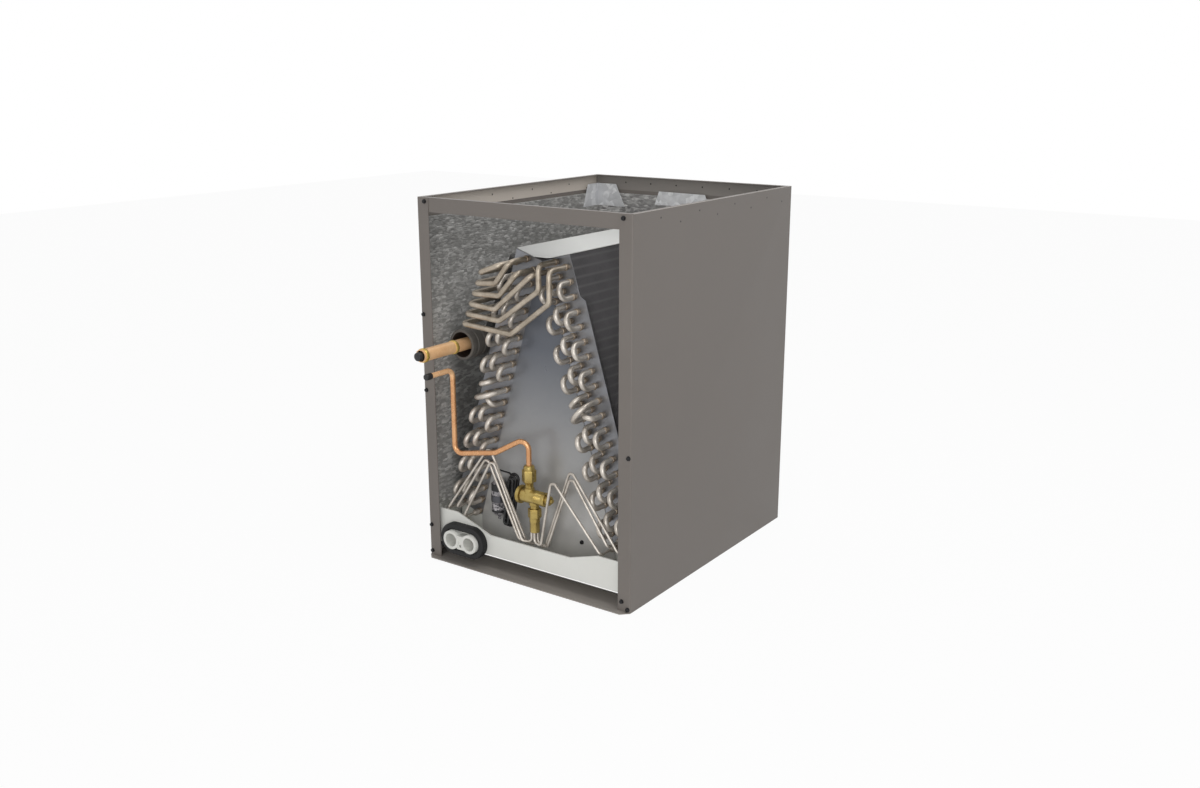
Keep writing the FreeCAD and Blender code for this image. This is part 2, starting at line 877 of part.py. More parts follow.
def valve_body():
    barrel = rod(valve_radius, valve_axis(valve_x - valve_left), RIGHT, valve_left + valve_right)
    neck = rod(inlet_neck_radius, valve_axis(valve_x), UP, valve_radius + inlet_neck_height)
    foot = rod(outlet_neck_radius, valve_axis(outlet_x), -UP, valve_radius + outlet_neck_height)
    return barrel.fuse([neck, foot]).removeSplitter()


def inlet_nut():
    base = valve_axis(valve_x) + UP * (valve_radius + inlet_neck_height)
    nut = hex_nut(inlet_nut_flats, base, UP, inlet_nut_height)
    return nut.cut(rod(tube_radius, base + UP * inlet_nut_height * 0.4, UP, inlet_nut_height))


# The power head is a flat can with domed faces.
def power_head():
    start = valve_x - valve_left
    rim = rod(head_radius, valve_axis(start), -RIGHT, head_length * 0.55)
    ball = Part.makeSphere(head_radius * 1.35, valve_axis(start + head_radius * 0.62))
    dome = rod(head_radius * 0.98, valve_axis(start), -RIGHT, head_length).common(ball)
    return rim.fuse(dome).removeSplitter()


def valve_stem():
    start = valve_x + valve_right
    cap = rod(valve_cap_radius, valve_axis(start), RIGHT, valve_cap_length)
    stem = rod(stem_radius, valve_axis(start + valve_cap_length), RIGHT, stem_length)
    return cap.fuse(stem).removeSplitter()


def outlet_top():
    return valve_z - valve_radius - outlet_neck_height


def outlet_nut():
    return hex_nut(outlet_nut_flats, Vector(outlet_x, valve_y, outlet_top()), -UP, outlet_nut_height)


def distributor():
    top = Vector(outlet_x, valve_y, outlet_top() - outlet_nut_height)
    rim_height = distributor_height * 0.3
    rim = rod(distributor_radius, top, -UP, rim_height)
    cone_top = top - UP * rim_height
    cone = Part.makeCone(distributor_radius, distributor_foot, distributor_height - rim_height, cone_top, -UP)
    return rim.fuse(cone).removeSplitter()


# Small tubes fan out from the distributor, loop up and end in the lowest coil tubes.
def distributor_points(side, row):
    bottom = outlet_top() - outlet_nut_height - distributor_height
    angle = math.radians({0: -60, 1: 0, 2: 60}[row])
    start = Vector(outlet_x + side * distributor_ring * math.cos(angle),
                   valve_y + distributor_ring * math.sin(angle), bottom)
    end = slab_point(side, tube_s(row, tubes_per_row - 1), row_t(row), tube_end_front)
    turn, rise, peak, plane = LOOPS[(side, row)]
    low = start - UP * turn
    points = [start, low]
    points.append(Vector(rise[0], rise[1], low.z))
    points.append(Vector(peak[0], plane, peak[1]))
    points.append(Vector(end.x, loop_end_plane, end.z))
    return points + [end]


def distributor_tube(side, row):
    points = distributor_points(side, row)
    return bent_tube(points, distributor_bend, distributor_tube_od, distributor_tube_wall)


# Sensing bulb and capillary
def bulb_y():
    return coil_front - delta_sheet - clip_thick - seat_gap - bulb_radius


def sensing_bulb():
    base = Vector(bulb_x, bulb_y(), bulb_z)
    body = rod(bulb_radius, base, UP, bulb_length)
    low_cap = Part.makeCone(bulb_radius * 0.55, bulb_radius, bulb_cap, base - UP * bulb_cap, UP)
    high_cap = Part.makeCone(bulb_radius, bulb_radius * 0.5, bulb_cap, base + UP * bulb_length, UP)
    tail = rod(bulb_tail_radius, base - UP * (bulb_cap + bulb_tail), UP, bulb_cap + bulb_tail)
    return body.fuse([low_cap, high_cap, tail]).removeSplitter()


def bulb_clip():
    z = bulb_z + bulb_length / 2 - clip_width / 2
    centre = Vector(bulb_x, bulb_y(), z)
    seat = rod(bulb_radius, centre, UP, clip_width)
    band = rod(bulb_radius + clip_thick, centre, UP, clip_width)
    back = coil_front - delta_sheet
    foot = box((bulb_x - bulb_radius - clip_foot, back - clip_thick, z), (bulb_x, back, z + clip_width))
    return band.fuse(foot).cut(seat).removeSplitter()


# The spare capillary is coiled into an oblong hank, and its two ends go to the bulb and the power head.
def coil_turn_size(k):
    half = coil_width / 2 - capillary_od / 2 - k * 2.0
    reach = coil_height / 2 - capillary_od / 2 - k * 3.0
    return half, reach


def coil_place(k):
    y = coil_plane - k * (capillary_od + coil_turn_gap)
    return Placement(Vector(coil_x, y, coil_z), Rotation(BACK, coil_lean))


def coil_turn(k):
    half, reach = coil_turn_size(k)
    points = [Vector(-half, 0, reach - half), Vector(0, 0, reach), Vector(half, 0, reach - half),
              Vector(half, 0, half - reach), Vector(0, 0, -reach), Vector(-half, 0, half - reach)]
    edges = [Part.Arc(points[0], points[1], points[2]), Part.LineSegment(points[2], points[3]),
             Part.Arc(points[3], points[4], points[5]), Part.LineSegment(points[5], points[0])]
    edges = [edge.toShape() for edge in edges]
    ring = Part.Wire(Part.makeCircle(capillary_od / 2, points[0], UP))
    turn = Part.Wire(edges).makePipeShell([ring], True, False)
    turn.Placement = coil_place(k)
    return turn


def capillary_coil():
    turns = [coil_turn(k) for k in range(capillary_turns)]
    half, reach = coil_turn_size(0)
    corner = coil_place(0).multVec(Vector(-half, 0, reach - half))
    bulb_top = Vector(bulb_x, bulb_y(), bulb_z + bulb_length + bulb_cap)
    over = bulb_top + UP * bulb_lead_rise
    across = Vector(corner.x - 4, corner.y + 4, over.z)
    bulb_lead = bent_rod([bulb_top, over, across, corner], capillary_bend, capillary_lead)
    half, reach = coil_turn_size(capillary_turns - 1)
    side = coil_place(capillary_turns - 1).multVec(Vector(half, 0, head_lead_rise))
    head = valve_axis(valve_x - valve_left - head_length)
    near_head = Vector(head.x - head_lead_reach, side.y, head.z)
    head_lead = bent_rod([side, near_head, head], capillary_bend, capillary_lead)
    turns[0] = turns[0].fuse(bulb_lead)
    turns[-1] = turns[-1].fuse(head_lead)
    return Part.makeCompound(turns)


save(wrapper(), "cabinet_wrapper")
save(top_front_rail(), "top_front_rail")
save(bottom_front_rail(), "bottom_front_rail")
for liner_side in ("left", "right", "back"):
    save(liner(liner_side), liner_side + "_insulation")

slab_pieces = {
    "fin_pack": fin_pack(),
    "front_tube_sheet": tube_sheet_plate(coil_front),
    "rear_tube_sheet": tube_sheet_plate(coil_back - tube_sheet),
    "hairpin_tubes": hairpins(),
    "return_bends": return_bends(),
}
for piece_name, piece in slab_pieces.items():
    right_piece = into_slab(piece)
    save(right_piece, "right_" + piece_name)
    save(mirrored(right_piece), "left_" + piece_name)
save(into_slab(crossover_bends(rows - 1, 0)), "right_crossover_bends")
save(mirrored(into_slab(crossover_bends(0, rows - 1))), "left_crossover_bends")

save(delta_plate(coil_front, -1), "front_delta_plate")
save(delta_plate(coil_back, 1), "rear_delta_plate")
save(apex_cap(), "apex_cap")
save(delta_screws(), "delta_screws")
save(drain_pan(), "drain_pan")
save(pan_opening_rim(), "pan_opening_rim")
save(pan_ribs(), "pan_ribs")
save(pan_bosses(), "pan_bosses")
save(drain_gasket(), "drain_gasket")
for rail_side in ("left", "right"):
    save(pan_rail(rail_side), rail_side + "_pan_rail")
save(cabinet_screws(), "cabinet_screws")

for feeder_number in range(len(FEEDERS)):
    save(suction_feeder(feeder_number), "suction_feeder_" + str(feeder_number + 1))
save(suction_header(), "suction_header")
save(header_cap(), "header_cap")
save(suction_stub(), "suction_stub")
save(suction_rings(), "suction_rings")
save(suction_plug(), "suction_plug")
save(suction_boot(), "suction_boot")

save(liquid_line(), "liquid_line")
save(liquid_plug(), "liquid_plug")
save(valve_body(), "valve_body")
save(inlet_nut(), "inlet_nut")
save(power_head(), "power_head")
save(valve_stem(), "valve_stem")
save(outlet_nut(), "outlet_nut")
save(distributor(), "distributor")
for loop_number, (loop_side, loop_row) in enumerate(LOOPS):
    save(distributor_tube(loop_side, loop_row), "distributor_tube_" + str(loop_number + 1))
save(sensing_bulb(), "sensing_bulb")
save(bulb_clip(), "bulb_clip")
save(capillary_coil(), "capillary_coil")
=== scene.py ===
import math

import bmesh
import bpy
from mathutils import Matrix, Vector


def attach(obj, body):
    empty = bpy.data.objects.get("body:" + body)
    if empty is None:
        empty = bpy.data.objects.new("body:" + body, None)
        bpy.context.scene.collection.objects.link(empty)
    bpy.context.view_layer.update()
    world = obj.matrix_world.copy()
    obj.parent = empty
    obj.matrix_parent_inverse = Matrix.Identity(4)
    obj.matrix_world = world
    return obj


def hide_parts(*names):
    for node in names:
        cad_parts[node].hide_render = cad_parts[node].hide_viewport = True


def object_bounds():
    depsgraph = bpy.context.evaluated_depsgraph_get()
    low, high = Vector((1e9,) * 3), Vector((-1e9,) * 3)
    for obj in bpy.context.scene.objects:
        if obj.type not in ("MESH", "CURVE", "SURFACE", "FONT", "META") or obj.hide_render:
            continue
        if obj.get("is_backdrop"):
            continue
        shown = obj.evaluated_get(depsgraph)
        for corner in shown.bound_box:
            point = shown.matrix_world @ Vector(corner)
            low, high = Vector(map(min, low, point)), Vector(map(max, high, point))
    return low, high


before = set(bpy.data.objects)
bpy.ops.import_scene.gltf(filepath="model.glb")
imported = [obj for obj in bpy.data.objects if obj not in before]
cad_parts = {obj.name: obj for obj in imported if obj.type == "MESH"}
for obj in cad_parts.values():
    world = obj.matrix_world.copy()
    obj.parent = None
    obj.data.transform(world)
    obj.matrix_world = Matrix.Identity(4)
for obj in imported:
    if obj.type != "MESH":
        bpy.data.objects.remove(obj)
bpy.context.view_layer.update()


# Cabinet. One steel sheet is folded round three sides, with a narrow flange at each side of the open front.
# It is powder coated a warm taupe, with a fine orange peel, and its folded edges catch the light.
def colour(red, green, blue):
    def linear(value):
        value /= 255
        return value / 12.92 if value <= 0.04045 else ((value + 0.055) / 1.055) ** 2.4

    return linear(red), linear(green), linear(blue), 1.0


def new_group(name, inputs, outputs):
    tree = bpy.data.node_groups.new(name, "ShaderNodeTree")
    for label, kind, value in inputs:
        tree.interface.new_socket(label, in_out="INPUT", socket_type=kind).default_value = value
    for label, kind in outputs:
        tree.interface.new_socket(label, in_out="OUTPUT", socket_type=kind)
    return tree, tree.nodes.new("NodeGroupInput"), tree.nodes.new("NodeGroupOutput")


def remap(tree, source, low, high):
    node = tree.nodes.new("ShaderNodeMapRange")
    node.inputs["From Min"].default_value = low
    node.inputs["From Max"].default_value = high
    tree.links.new(source, node.inputs["Value"])
    return node.outputs["Result"]


def blend(tree, factor, first, second, mode="MIX"):
    node = tree.nodes.new("ShaderNodeMix")
    node.data_type = "RGBA"
    node.blend_type = mode
    for socket, value in ((0, factor), (6, first), (7, second)):
        if isinstance(value, bpy.types.NodeSocket):
            tree.links.new(value, node.inputs[socket])
        else:
            node.inputs[socket].default_value = value
    return node.outputs[2]


def math_node(tree, operation, first, second=0.0):
    node = tree.nodes.new("ShaderNodeMath")
    node.operation = operation
    for socket, value in enumerate((first, second)):
        if isinstance(value, bpy.types.NodeSocket):
            tree.links.new(value, node.inputs[socket])
        else:
            node.inputs[socket].default_value = value
    return node.outputs["Value"]


# The X, Y and Z of a place on the object, in metres.
def place_axes(tree):
    place = tree.nodes.new("ShaderNodeTexCoord")
    axes = tree.nodes.new("ShaderNodeSeparateXYZ")
    tree.links.new(place.outputs["Object"], axes.inputs["Vector"])
    return axes.outputs


# A second tone goes over a material's base colour where the mask is one.
def tint(tree, mask, tone, mode="MIX"):
    shader = tree.nodes["Principled BSDF"]
    base = shader.inputs["Base Color"].links[0].from_socket
    tree.links.new(blend(tree, mask, base, tone, mode), shader.inputs["Base Color"])


# Grain: two noises, a coarse one for slow changes of colour and a fine one for the surface itself.
def grain_group():
    tree, given, made = new_group(
        "grain",
        [("Light", "NodeSocketColor", (1, 1, 1, 1)), ("Dark", "NodeSocketColor", (0, 0, 0, 1)),
         ("Coarse Scale", "NodeSocketFloat", 12), ("Fine Scale", "NodeSocketFloat", 900),
         ("Fine Share", "NodeSocketFloat", 0.3)],
        [("Color", "NodeSocketColor"), ("Mask", "NodeSocketFloat"), ("Height", "NodeSocketFloat")])
    place = tree.nodes.new("ShaderNodeTexCoord")
    coarse = tree.nodes.new("ShaderNodeTexNoise")
    fine = tree.nodes.new("ShaderNodeTexNoise")
    coarse.inputs["Detail"].default_value = 4
    fine.inputs["Detail"].default_value = 2
    for noise, scale in ((coarse, "Coarse Scale"), (fine, "Fine Scale")):
        tree.links.new(place.outputs["Object"], noise.inputs["Vector"])
        tree.links.new(given.outputs[scale], noise.inputs["Scale"])
    slow = remap(tree, coarse.outputs["Fac"], 0.35, 0.65)
    quick = remap(tree, fine.outputs["Fac"], 0.3, 0.7)
    mixed = blend(tree, given.outputs["Fine Share"], slow, quick)
    tree.links.new(mixed, made.inputs["Mask"])
    tree.links.new(blend(tree, mixed, given.outputs["Dark"], given.outputs["Light"]), made.inputs["Color"])
    tree.links.new(quick, made.inputs["Height"])
    return tree


GRAIN = grain_group()


def place_group(tree, group, **values):
    node = tree.nodes.new("ShaderNodeGroup")
    node.node_tree = group
    for label, value in values.items():
        node.inputs[label.replace("_", " ")].default_value = value
    return node


def add_bump(tree, shader, height, distance):
    bump = tree.nodes.new("ShaderNodeBump")
    bump.inputs["Distance"].default_value = distance
    tree.links.new(height, bump.inputs["Height"])
    tree.links.new(bump.outputs["Normal"], shader.inputs["Normal"])


ROUGH_SPREAD = 0.06


def grained(name, light, dark, rough, metal=0.0, coarse=12, fine=900, share=0.3, bump=0.00005):
    surface = bpy.data.materials.new(name)
    surface.use_nodes = True
    tree = surface.node_tree
    shader = tree.nodes["Principled BSDF"]
    grain = place_group(tree, GRAIN, Light=light, Dark=dark, Coarse_Scale=coarse, Fine_Scale=fine,
                        Fine_Share=share)
    tree.links.new(grain.outputs["Color"], shader.inputs["Base Color"])
    spread = tree.nodes.new("ShaderNodeMapRange")
    spread.inputs["To Min"].default_value = rough - ROUGH_SPREAD
    spread.inputs["To Max"].default_value = rough + ROUGH_SPREAD
    tree.links.new(grain.outputs["Mask"], spread.inputs["Value"])
    tree.links.new(spread.outputs["Result"], shader.inputs["Roughness"])
    shader.inputs["Metallic"].default_value = metal
    add_bump(tree, shader, grain.outputs["Height"], bump)
    return surface


# Pieces are drawn in millimetres, merged where points fall together, and brought to metres.
METRE = 1000
MILLIMETRE = 1 / METRE
MERGE_GAP = 0.005


def add_piece(name, bm, surface, slot, *nodes, angle=35):
    bmesh.ops.remove_doubles(bm, verts=bm.verts, dist=MERGE_GAP)
    bmesh.ops.recalc_face_normals(bm, faces=bm.faces)
    bmesh.ops.scale(bm, vec=(MILLIMETRE, MILLIMETRE, MILLIMETRE), verts=bm.verts)
    mesh = bpy.data.meshes.new(name)
    bm.to_mesh(mesh)
    bm.free()
    mesh.polygons.foreach_set("use_smooth", [True] * len(mesh.polygons))
    mesh.set_sharp_from_angle(angle=math.radians(angle))
    mesh.materials.append(surface)
    piece = bpy.data.objects.new(name, mesh)
    bpy.context.scene.collection.objects.link(piece)
    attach(piece, "root")
    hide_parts(*nodes)
    return piece


# A folded or moulded part starts as a merged copy of its solid, in millimetres, and gets its edges rounded.
FLAT_ANGLE = math.radians(0.5)
FOLD_ANGLE = math.radians(35)


def round_edges(bm, edges, width, segments):
    bmesh.ops.bevel(bm, geom=edges, offset=width, offset_type="OFFSET", segments=segments, profile=0.5,
                    affect="EDGES", clamp_overlap=True, material=-1)


def from_solid(node, edge):
    bm = bmesh.new()
    bm.from_mesh(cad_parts[node].data)
    bmesh.ops.scale(bm, vec=(METRE, METRE, METRE), verts=bm.verts)
    bmesh.ops.remove_doubles(bm, verts=bm.verts, dist=MERGE_GAP)
    bmesh.ops.dissolve_limit(bm, angle_limit=FLAT_ANGLE, verts=bm.verts, edges=bm.edges)
    sharp = [e for e in bm.edges if len(e.link_faces) == 2 and e.calc_face_angle(0) > FOLD_ANGLE]
    if edge:
        round_edges(bm, sharp, edge, 2)
    return bm


def add_copy(name, node, edge, surface, slot, angle=20):
    return add_piece(name, from_solid(node, edge), surface, slot, node, angle=angle)


# Painted light: above the liner, the walls' inner faces get a paler colour than the outside, for light
# falling in from above, the sides much paler than the back.
# The masks' limits are in metres: the wall's inner skin lies between its two faces.
BARE_FROM = 0.632
WITHIN_X, WITHIN_Y = 0.2216, 0.2694
SIDE_SKIN, BACK_SKIN = 0.2204, 0.2682
FRONT_EDGE = 0.266
SIDE_PAINTED_LIGHT = colour(206, 197, 187)
BACK_PAINTED_LIGHT = colour(139, 134, 129)


def taupe_coat():
    surface = grained("taupe_powder_coat", colour(119, 113, 108), colour(113, 107, 102), 0.46, coarse=9,
                      fine=1400, share=0.35, bump=0.00004)
    tree = surface.node_tree
    tree.nodes["Principled BSDF"].inputs["Specular IOR Level"].default_value = 0.4
    axes = place_axes(tree)
    across = math_node(tree, "ABSOLUTE", axes["X"])
    deep = math_node(tree, "ABSOLUTE", axes["Y"])
    high = math_node(tree, "GREATER_THAN", axes["Z"], BARE_FROM)
    within = math_node(tree, "MULTIPLY", math_node(tree, "LESS_THAN", across, WITHIN_X),
                       math_node(tree, "LESS_THAN", deep, WITHIN_Y))
    inner = math_node(tree, "MULTIPLY", high, within)
    side = math_node(tree, "MULTIPLY", math_node(tree, "GREATER_THAN", across, SIDE_SKIN),
                     math_node(tree, "LESS_THAN", deep, FRONT_EDGE))
    back = math_node(tree, "GREATER_THAN", axes["Y"], BACK_SKIN)
    tint(tree, math_node(tree, "MULTIPLY", inner, back), BACK_PAINTED_LIGHT)
    tint(tree, math_node(tree, "MULTIPLY", inner, side), SIDE_PAINTED_LIGHT)
    return surface


TAUPE = taupe_coat()
add_copy("cabinet", "cabinet_wrapper", 0.35, TAUPE, "cabinet_paint")


# Front rails. Two folded strips close the front above and below, screwed inside the side flanges.
# They are of coated sheet like the cabinet. The bottom rail gets a paler coat as painted light on its ledge,
# which lies in shade under the pan.
RAIL_PAINTED_LIGHT_COAT = grained("rail_coat_painted_light", colour(156, 150, 144), colour(148, 142, 136), 0.46, coarse=9,
                    fine=1400, share=0.35, bump=0.00004)
add_copy("top_rail", "top_front_rail", 0.3, TAUPE, "cabinet_paint")
add_copy("bottom_rail", "bottom_front_rail", 0.3, RAIL_PAINTED_LIGHT_COAT, "cabinet_paint")


# Insulation. Boards faced with creased foil line the two sides and the back, glued to the sheet.
# The foil's scrim shows as small raised cells; their lighter and darker tones are painted highlight and
# shade, over a bump of the cells and creases.
def foil_group():
    tree, given, made = new_group(
        "creased_foil",
        [("Light", "NodeSocketColor", (1, 1, 1, 1)), ("Dark", "NodeSocketColor", (0, 0, 0, 1)),
         ("Cell Scale", "NodeSocketFloat", 110), ("Stretch", "NodeSocketVector", (1, 1, 1))],
        [("Color", "NodeSocketColor"), ("Height", "NodeSocketFloat"), ("Mask", "NodeSocketFloat")])
    place = tree.nodes.new("ShaderNodeTexCoord")
    cells = tree.nodes.new("ShaderNodeTexVoronoi")
    creases = tree.nodes.new("ShaderNodeTexNoise")
    stretched = tree.nodes.new("ShaderNodeVectorMath")
    stretched.operation = "MULTIPLY"
    tree.links.new(place.outputs["Object"], stretched.inputs[0])
    tree.links.new(given.outputs["Stretch"], stretched.inputs[1])
    cells.inputs["Randomness"].default_value = 0.7
    creases.inputs["Detail"].default_value = 5
    creases.inputs["Distortion"].default_value = 0.6
    creases.inputs["Scale"].default_value = 75
    for node in (cells, creases):
        tree.links.new(stretched.outputs["Vector"], node.inputs["Vector"])
    tree.links.new(given.outputs["Cell Scale"], cells.inputs["Scale"])
    shade = tree.nodes.new("ShaderNodeSeparateColor")
    tree.links.new(cells.outputs["Color"], shade.inputs["Color"])
    facet_painted_light = remap(tree, shade.outputs["Red"], 0.15, 0.95)
    edge = remap(tree, cells.outputs["Distance"], 0.1, 0.65)
    mixed = math_node(tree, "MULTIPLY", facet_painted_light, remap(tree, creases.outputs["Fac"], 0.3, 0.62))
    tree.links.new(blend(tree, mixed, given.outputs["Dark"], given.outputs["Light"]), made.inputs["Color"])
    height = math_node(tree, "ADD", math_node(tree, "MULTIPLY", edge, -0.6), creases.outputs["Fac"])
    tree.links.new(height, made.inputs["Height"])
    tree.links.new(mixed, made.inputs["Mask"])
    return tree


CREASED_FOIL = foil_group()


def foil(name, light, dark, rough, depth, metal=0.35, cell=110, stretch=(1, 1, 1)):
    surface = bpy.data.materials.new(name)
    surface.use_nodes = True
    tree = surface.node_tree
    shader = tree.nodes["Principled BSDF"]
    creased = place_group(tree, CREASED_FOIL, Light=light, Dark=dark, Cell_Scale=cell, Stretch=stretch)
    tree.links.new(creased.outputs["Color"], shader.inputs["Base Color"])
    shader.inputs["Metallic"].default_value = metal
    shader.inputs["Roughness"].default_value = rough
    add_bump(tree, shader, creased.outputs["Height"], depth)
    return surface


# Painted light and shade on the side foil: its colour is brightest low down at the front, darker higher up,
# and darkest low down deep behind the slabs.
CELL_STRETCH = (0.9, 0.9, 2.4)


def side_foil():
    surface = foil("side_foil", colour(255, 254, 251), colour(180, 179, 176), 0.42, 0.0006,
                   stretch=CELL_STRETCH)
    tree = surface.node_tree
    axes = place_axes(tree)
    low = remap(tree, axes["Z"], 0.62, 0.42)
    deep = math_node(tree, "MULTIPLY", remap(tree, axes["Z"], 0.5, 0.4),
                     remap(tree, axes["Y"], -0.215, -0.185))
    back = remap(tree, axes["Y"], -0.25, -0.08)
    painted_shade_high = blend(tree, back, colour(166, 166, 166), colour(204, 204, 204))
    shade = blend(tree, low, painted_shade_high, colour(255, 255, 255))
    tint(tree, 1.0, blend(tree, deep, shade, colour(186, 186, 186)), "MULTIPLY")
    return surface


SIDE_FOIL = side_foil()
BACK_FOIL = foil("back_foil", colour(222, 221, 219), colour(138, 137, 136), 0.42, 0.0006,
                 stretch=CELL_STRETCH)
for side, surface in (("left", SIDE_FOIL), ("right", SIDE_FOIL), ("back", BACK_FOIL)):
    add_copy(side + "_liner", side + "_insulation", 0.6, surface, "foil_liner")


# Foil tape. Two bright pieces of tape seal the liner's top edge at the back, one of them round the
# left corner. Their corners are cut at a slant, and they stop on the bare coated sheet above the liner.
TAPE_FOIL = foil("tape_foil", colour(244, 245, 246), colour(206, 207, 209), 0.4, 0.0008, metal=0.2, cell=70)
TAPE_THICK = 0.35
SIDE_FACE = -215.05
BACK_FACE = 262.6
CORNER_LOW, CORNER_HIGH = 598, 643
MIDDLE_LOW, MIDDLE_HIGH = 607, 633


def verts_of(made):
    return [v for v in made["geom"] if isinstance(v, bmesh.types.BMVert)]


def tape_strip(bm, corners, inward):
    face = bm.faces.new([bm.verts.new(corner) for corner in corners])
    made = bmesh.ops.extrude_face_region(bm, geom=[face])
    bmesh.ops.translate(bm, vec=Vector(inward) * TAPE_THICK, verts=verts_of(made))


bm = bmesh.new()
tape_strip(bm, [(SIDE_FACE, 210, CORNER_LOW), (SIDE_FACE, 262, CORNER_LOW), (SIDE_FACE, 262, CORNER_HIGH),
                (SIDE_FACE, 226, CORNER_HIGH)], (1, 0, 0))
tape_strip(bm, [(-216, BACK_FACE, CORNER_LOW), (-148, BACK_FACE, CORNER_LOW), (-170, BACK_FACE, CORNER_HIGH),
                (-216, BACK_FACE, CORNER_HIGH)], (0, -1, 0))
tape_strip(bm, [(-76, BACK_FACE, MIDDLE_LOW), (51, BACK_FACE, MIDDLE_LOW), (40, BACK_FACE, MIDDLE_HIGH),
                (-66, BACK_FACE, MIDDLE_HIGH + 1)], (0, -1, 0))
add_piece("liner_tape", bm, TAPE_FOIL, "foil_liner")


# Coil slabs. Thin aluminium fins with a slightly rippled edge are pressed onto three rows of tubes,
# and the two slabs lean together at the top.
TILT = math.radians(16.5)
APEX = 560.5
SLAB_LENGTH = 508.0
TUBE_PITCH = 25.4
ROW_PITCH = 19.05
ROWS = 3
TUBES_PER_ROW = 20
SLAB_THICK = ROWS * ROW_PITCH
TUBE_RADIUS = 4.76
COIL_FRONT = -206.5
COIL_BACK = 206.5
FIN_PITCH = 2.1
FIN_THICK = 0.22
FIN_RIPPLE = 1.1
FIRST_FIN = COIL_FRONT + 2.2
FIN_COUNT = int((COIL_BACK - COIL_FRONT - 4) / FIN_PITCH)


# A place in a slab: s runs down it from its top end, t runs outwards from its inner face.
def slab_point(side, s, t, y):
    x = 1 + s * math.sin(TILT) + t * math.cos(TILT)
    z = APEX - s * math.cos(TILT) + t * math.sin(TILT)
    return Vector((side * x, y, z))


def fin_material():
    surface = bpy.data.materials.new("fin_aluminium")
    surface.use_nodes = True
    tree = surface.node_tree
    shader = tree.nodes["Principled BSDF"]
    along = tree.nodes.new("ShaderNodeAttribute")
    along.attribute_name = "along_slab"
    # Painted highlight: a paler line repeats along the slab on the fin faces, for light caught on the fins'
    # ripples.
    wave = math_node(tree, "PINGPONG", math_node(tree, "MULTIPLY", along.outputs["Fac"], 1.6), 0.5)
    line = remap(tree, wave, 0.3, 0.5)
    grain = place_group(tree, GRAIN, Light=colour(144, 142, 144), Dark=colour(123, 121, 123), Coarse_Scale=14,
                        Fine_Scale=500, Fine_Share=0.4)
    with_ripple_highlight = blend(tree, line, grain.outputs["Color"], colour(151, 149, 151))
    tree.links.new(with_ripple_highlight, shader.inputs["Base Color"])
    shader.inputs["Metallic"].default_value = 0.4
    shader.inputs["Roughness"].default_value = 0.45
    add_bump(tree, shader, grain.outputs["Height"], 0.00004)
    return surface


FIN_METAL = fin_material()


def fins(side):
    bm = bmesh.new()
    bmesh.ops.create_grid(bm, x_segments=1, y_segments=2 * TUBES_PER_ROW, size=0.5)
    layer = bm.verts.layers.float.new("along_slab")
    for vert in bm.verts:
        step = round((vert.co.y + 0.5) * 2 * TUBES_PER_ROW)
        t = 0.0 if vert.co.x < 0 else SLAB_THICK
        ripple = FIN_RIPPLE * (step % 2) * (1 if t == 0.0 else -1)
        vert[layer] = step / 2
        vert.co = slab_point(side, step * SLAB_LENGTH / (2 * TUBES_PER_ROW), t + ripple, FIRST_FIN)
    bmesh.ops.remove_doubles(bm, verts=bm.verts, dist=0.001)
    made = bmesh.ops.extrude_face_region(bm, geom=list(bm.faces))
    bmesh.ops.translate(bm, vec=(0, FIN_THICK, 0), verts=verts_of(made))
    return bm


for name, side in (("left", -1), ("right", 1)):
    piece = add_piece(name + "_fins", fins(side), FIN_METAL, "fin_aluminium", name + "_fin_pack")
    stack = piece.modifiers.new("stack", "ARRAY")
    stack.use_relative_offset = False
    stack.use_constant_offset = True
    stack.constant_offset_displace = (0, FIN_PITCH * MILLIMETRE, 0)
    stack.count = FIN_COUNT


# Tube sheets, delta plates and pan rails. They are bare galvanised sheet with a faint spangle, cut, punched
# and folded, and the delta plates are screwed to the drain pan.
def spangle_group():
    tree, given, made = new_group(
        "zinc_spangle",
        [("Light", "NodeSocketColor", (1, 1, 1, 1)), ("Dark", "NodeSocketColor", (0, 0, 0, 1)),
         ("Scale", "NodeSocketFloat", 80)],
        [("Color", "NodeSocketColor"), ("Mask", "NodeSocketFloat"), ("Height", "NodeSocketFloat")])
    place = tree.nodes.new("ShaderNodeTexCoord")
    flakes = tree.nodes.new("ShaderNodeTexVoronoi")
    cloud = tree.nodes.new("ShaderNodeTexNoise")
    cloud.inputs["Scale"].default_value = 7
    cloud.inputs["Detail"].default_value = 5
    for node in (flakes, cloud):
        tree.links.new(place.outputs["Object"], node.inputs["Vector"])
    tree.links.new(given.outputs["Scale"], flakes.inputs["Scale"])
    shade = tree.nodes.new("ShaderNodeSeparateColor")
    tree.links.new(flakes.outputs["Color"], shade.inputs["Color"])
    mixed = blend(tree, 0.65, shade.outputs["Red"], remap(tree, cloud.outputs["Fac"], 0.3, 0.7))
    tree.links.new(blend(tree, mixed, given.outputs["Dark"], given.outputs["Light"]), made.inputs["Color"])
    tree.links.new(mixed, made.inputs["Mask"])
    tree.links.new(cloud.outputs["Fac"], made.inputs["Height"])
    return tree


SPANGLE = spangle_group()


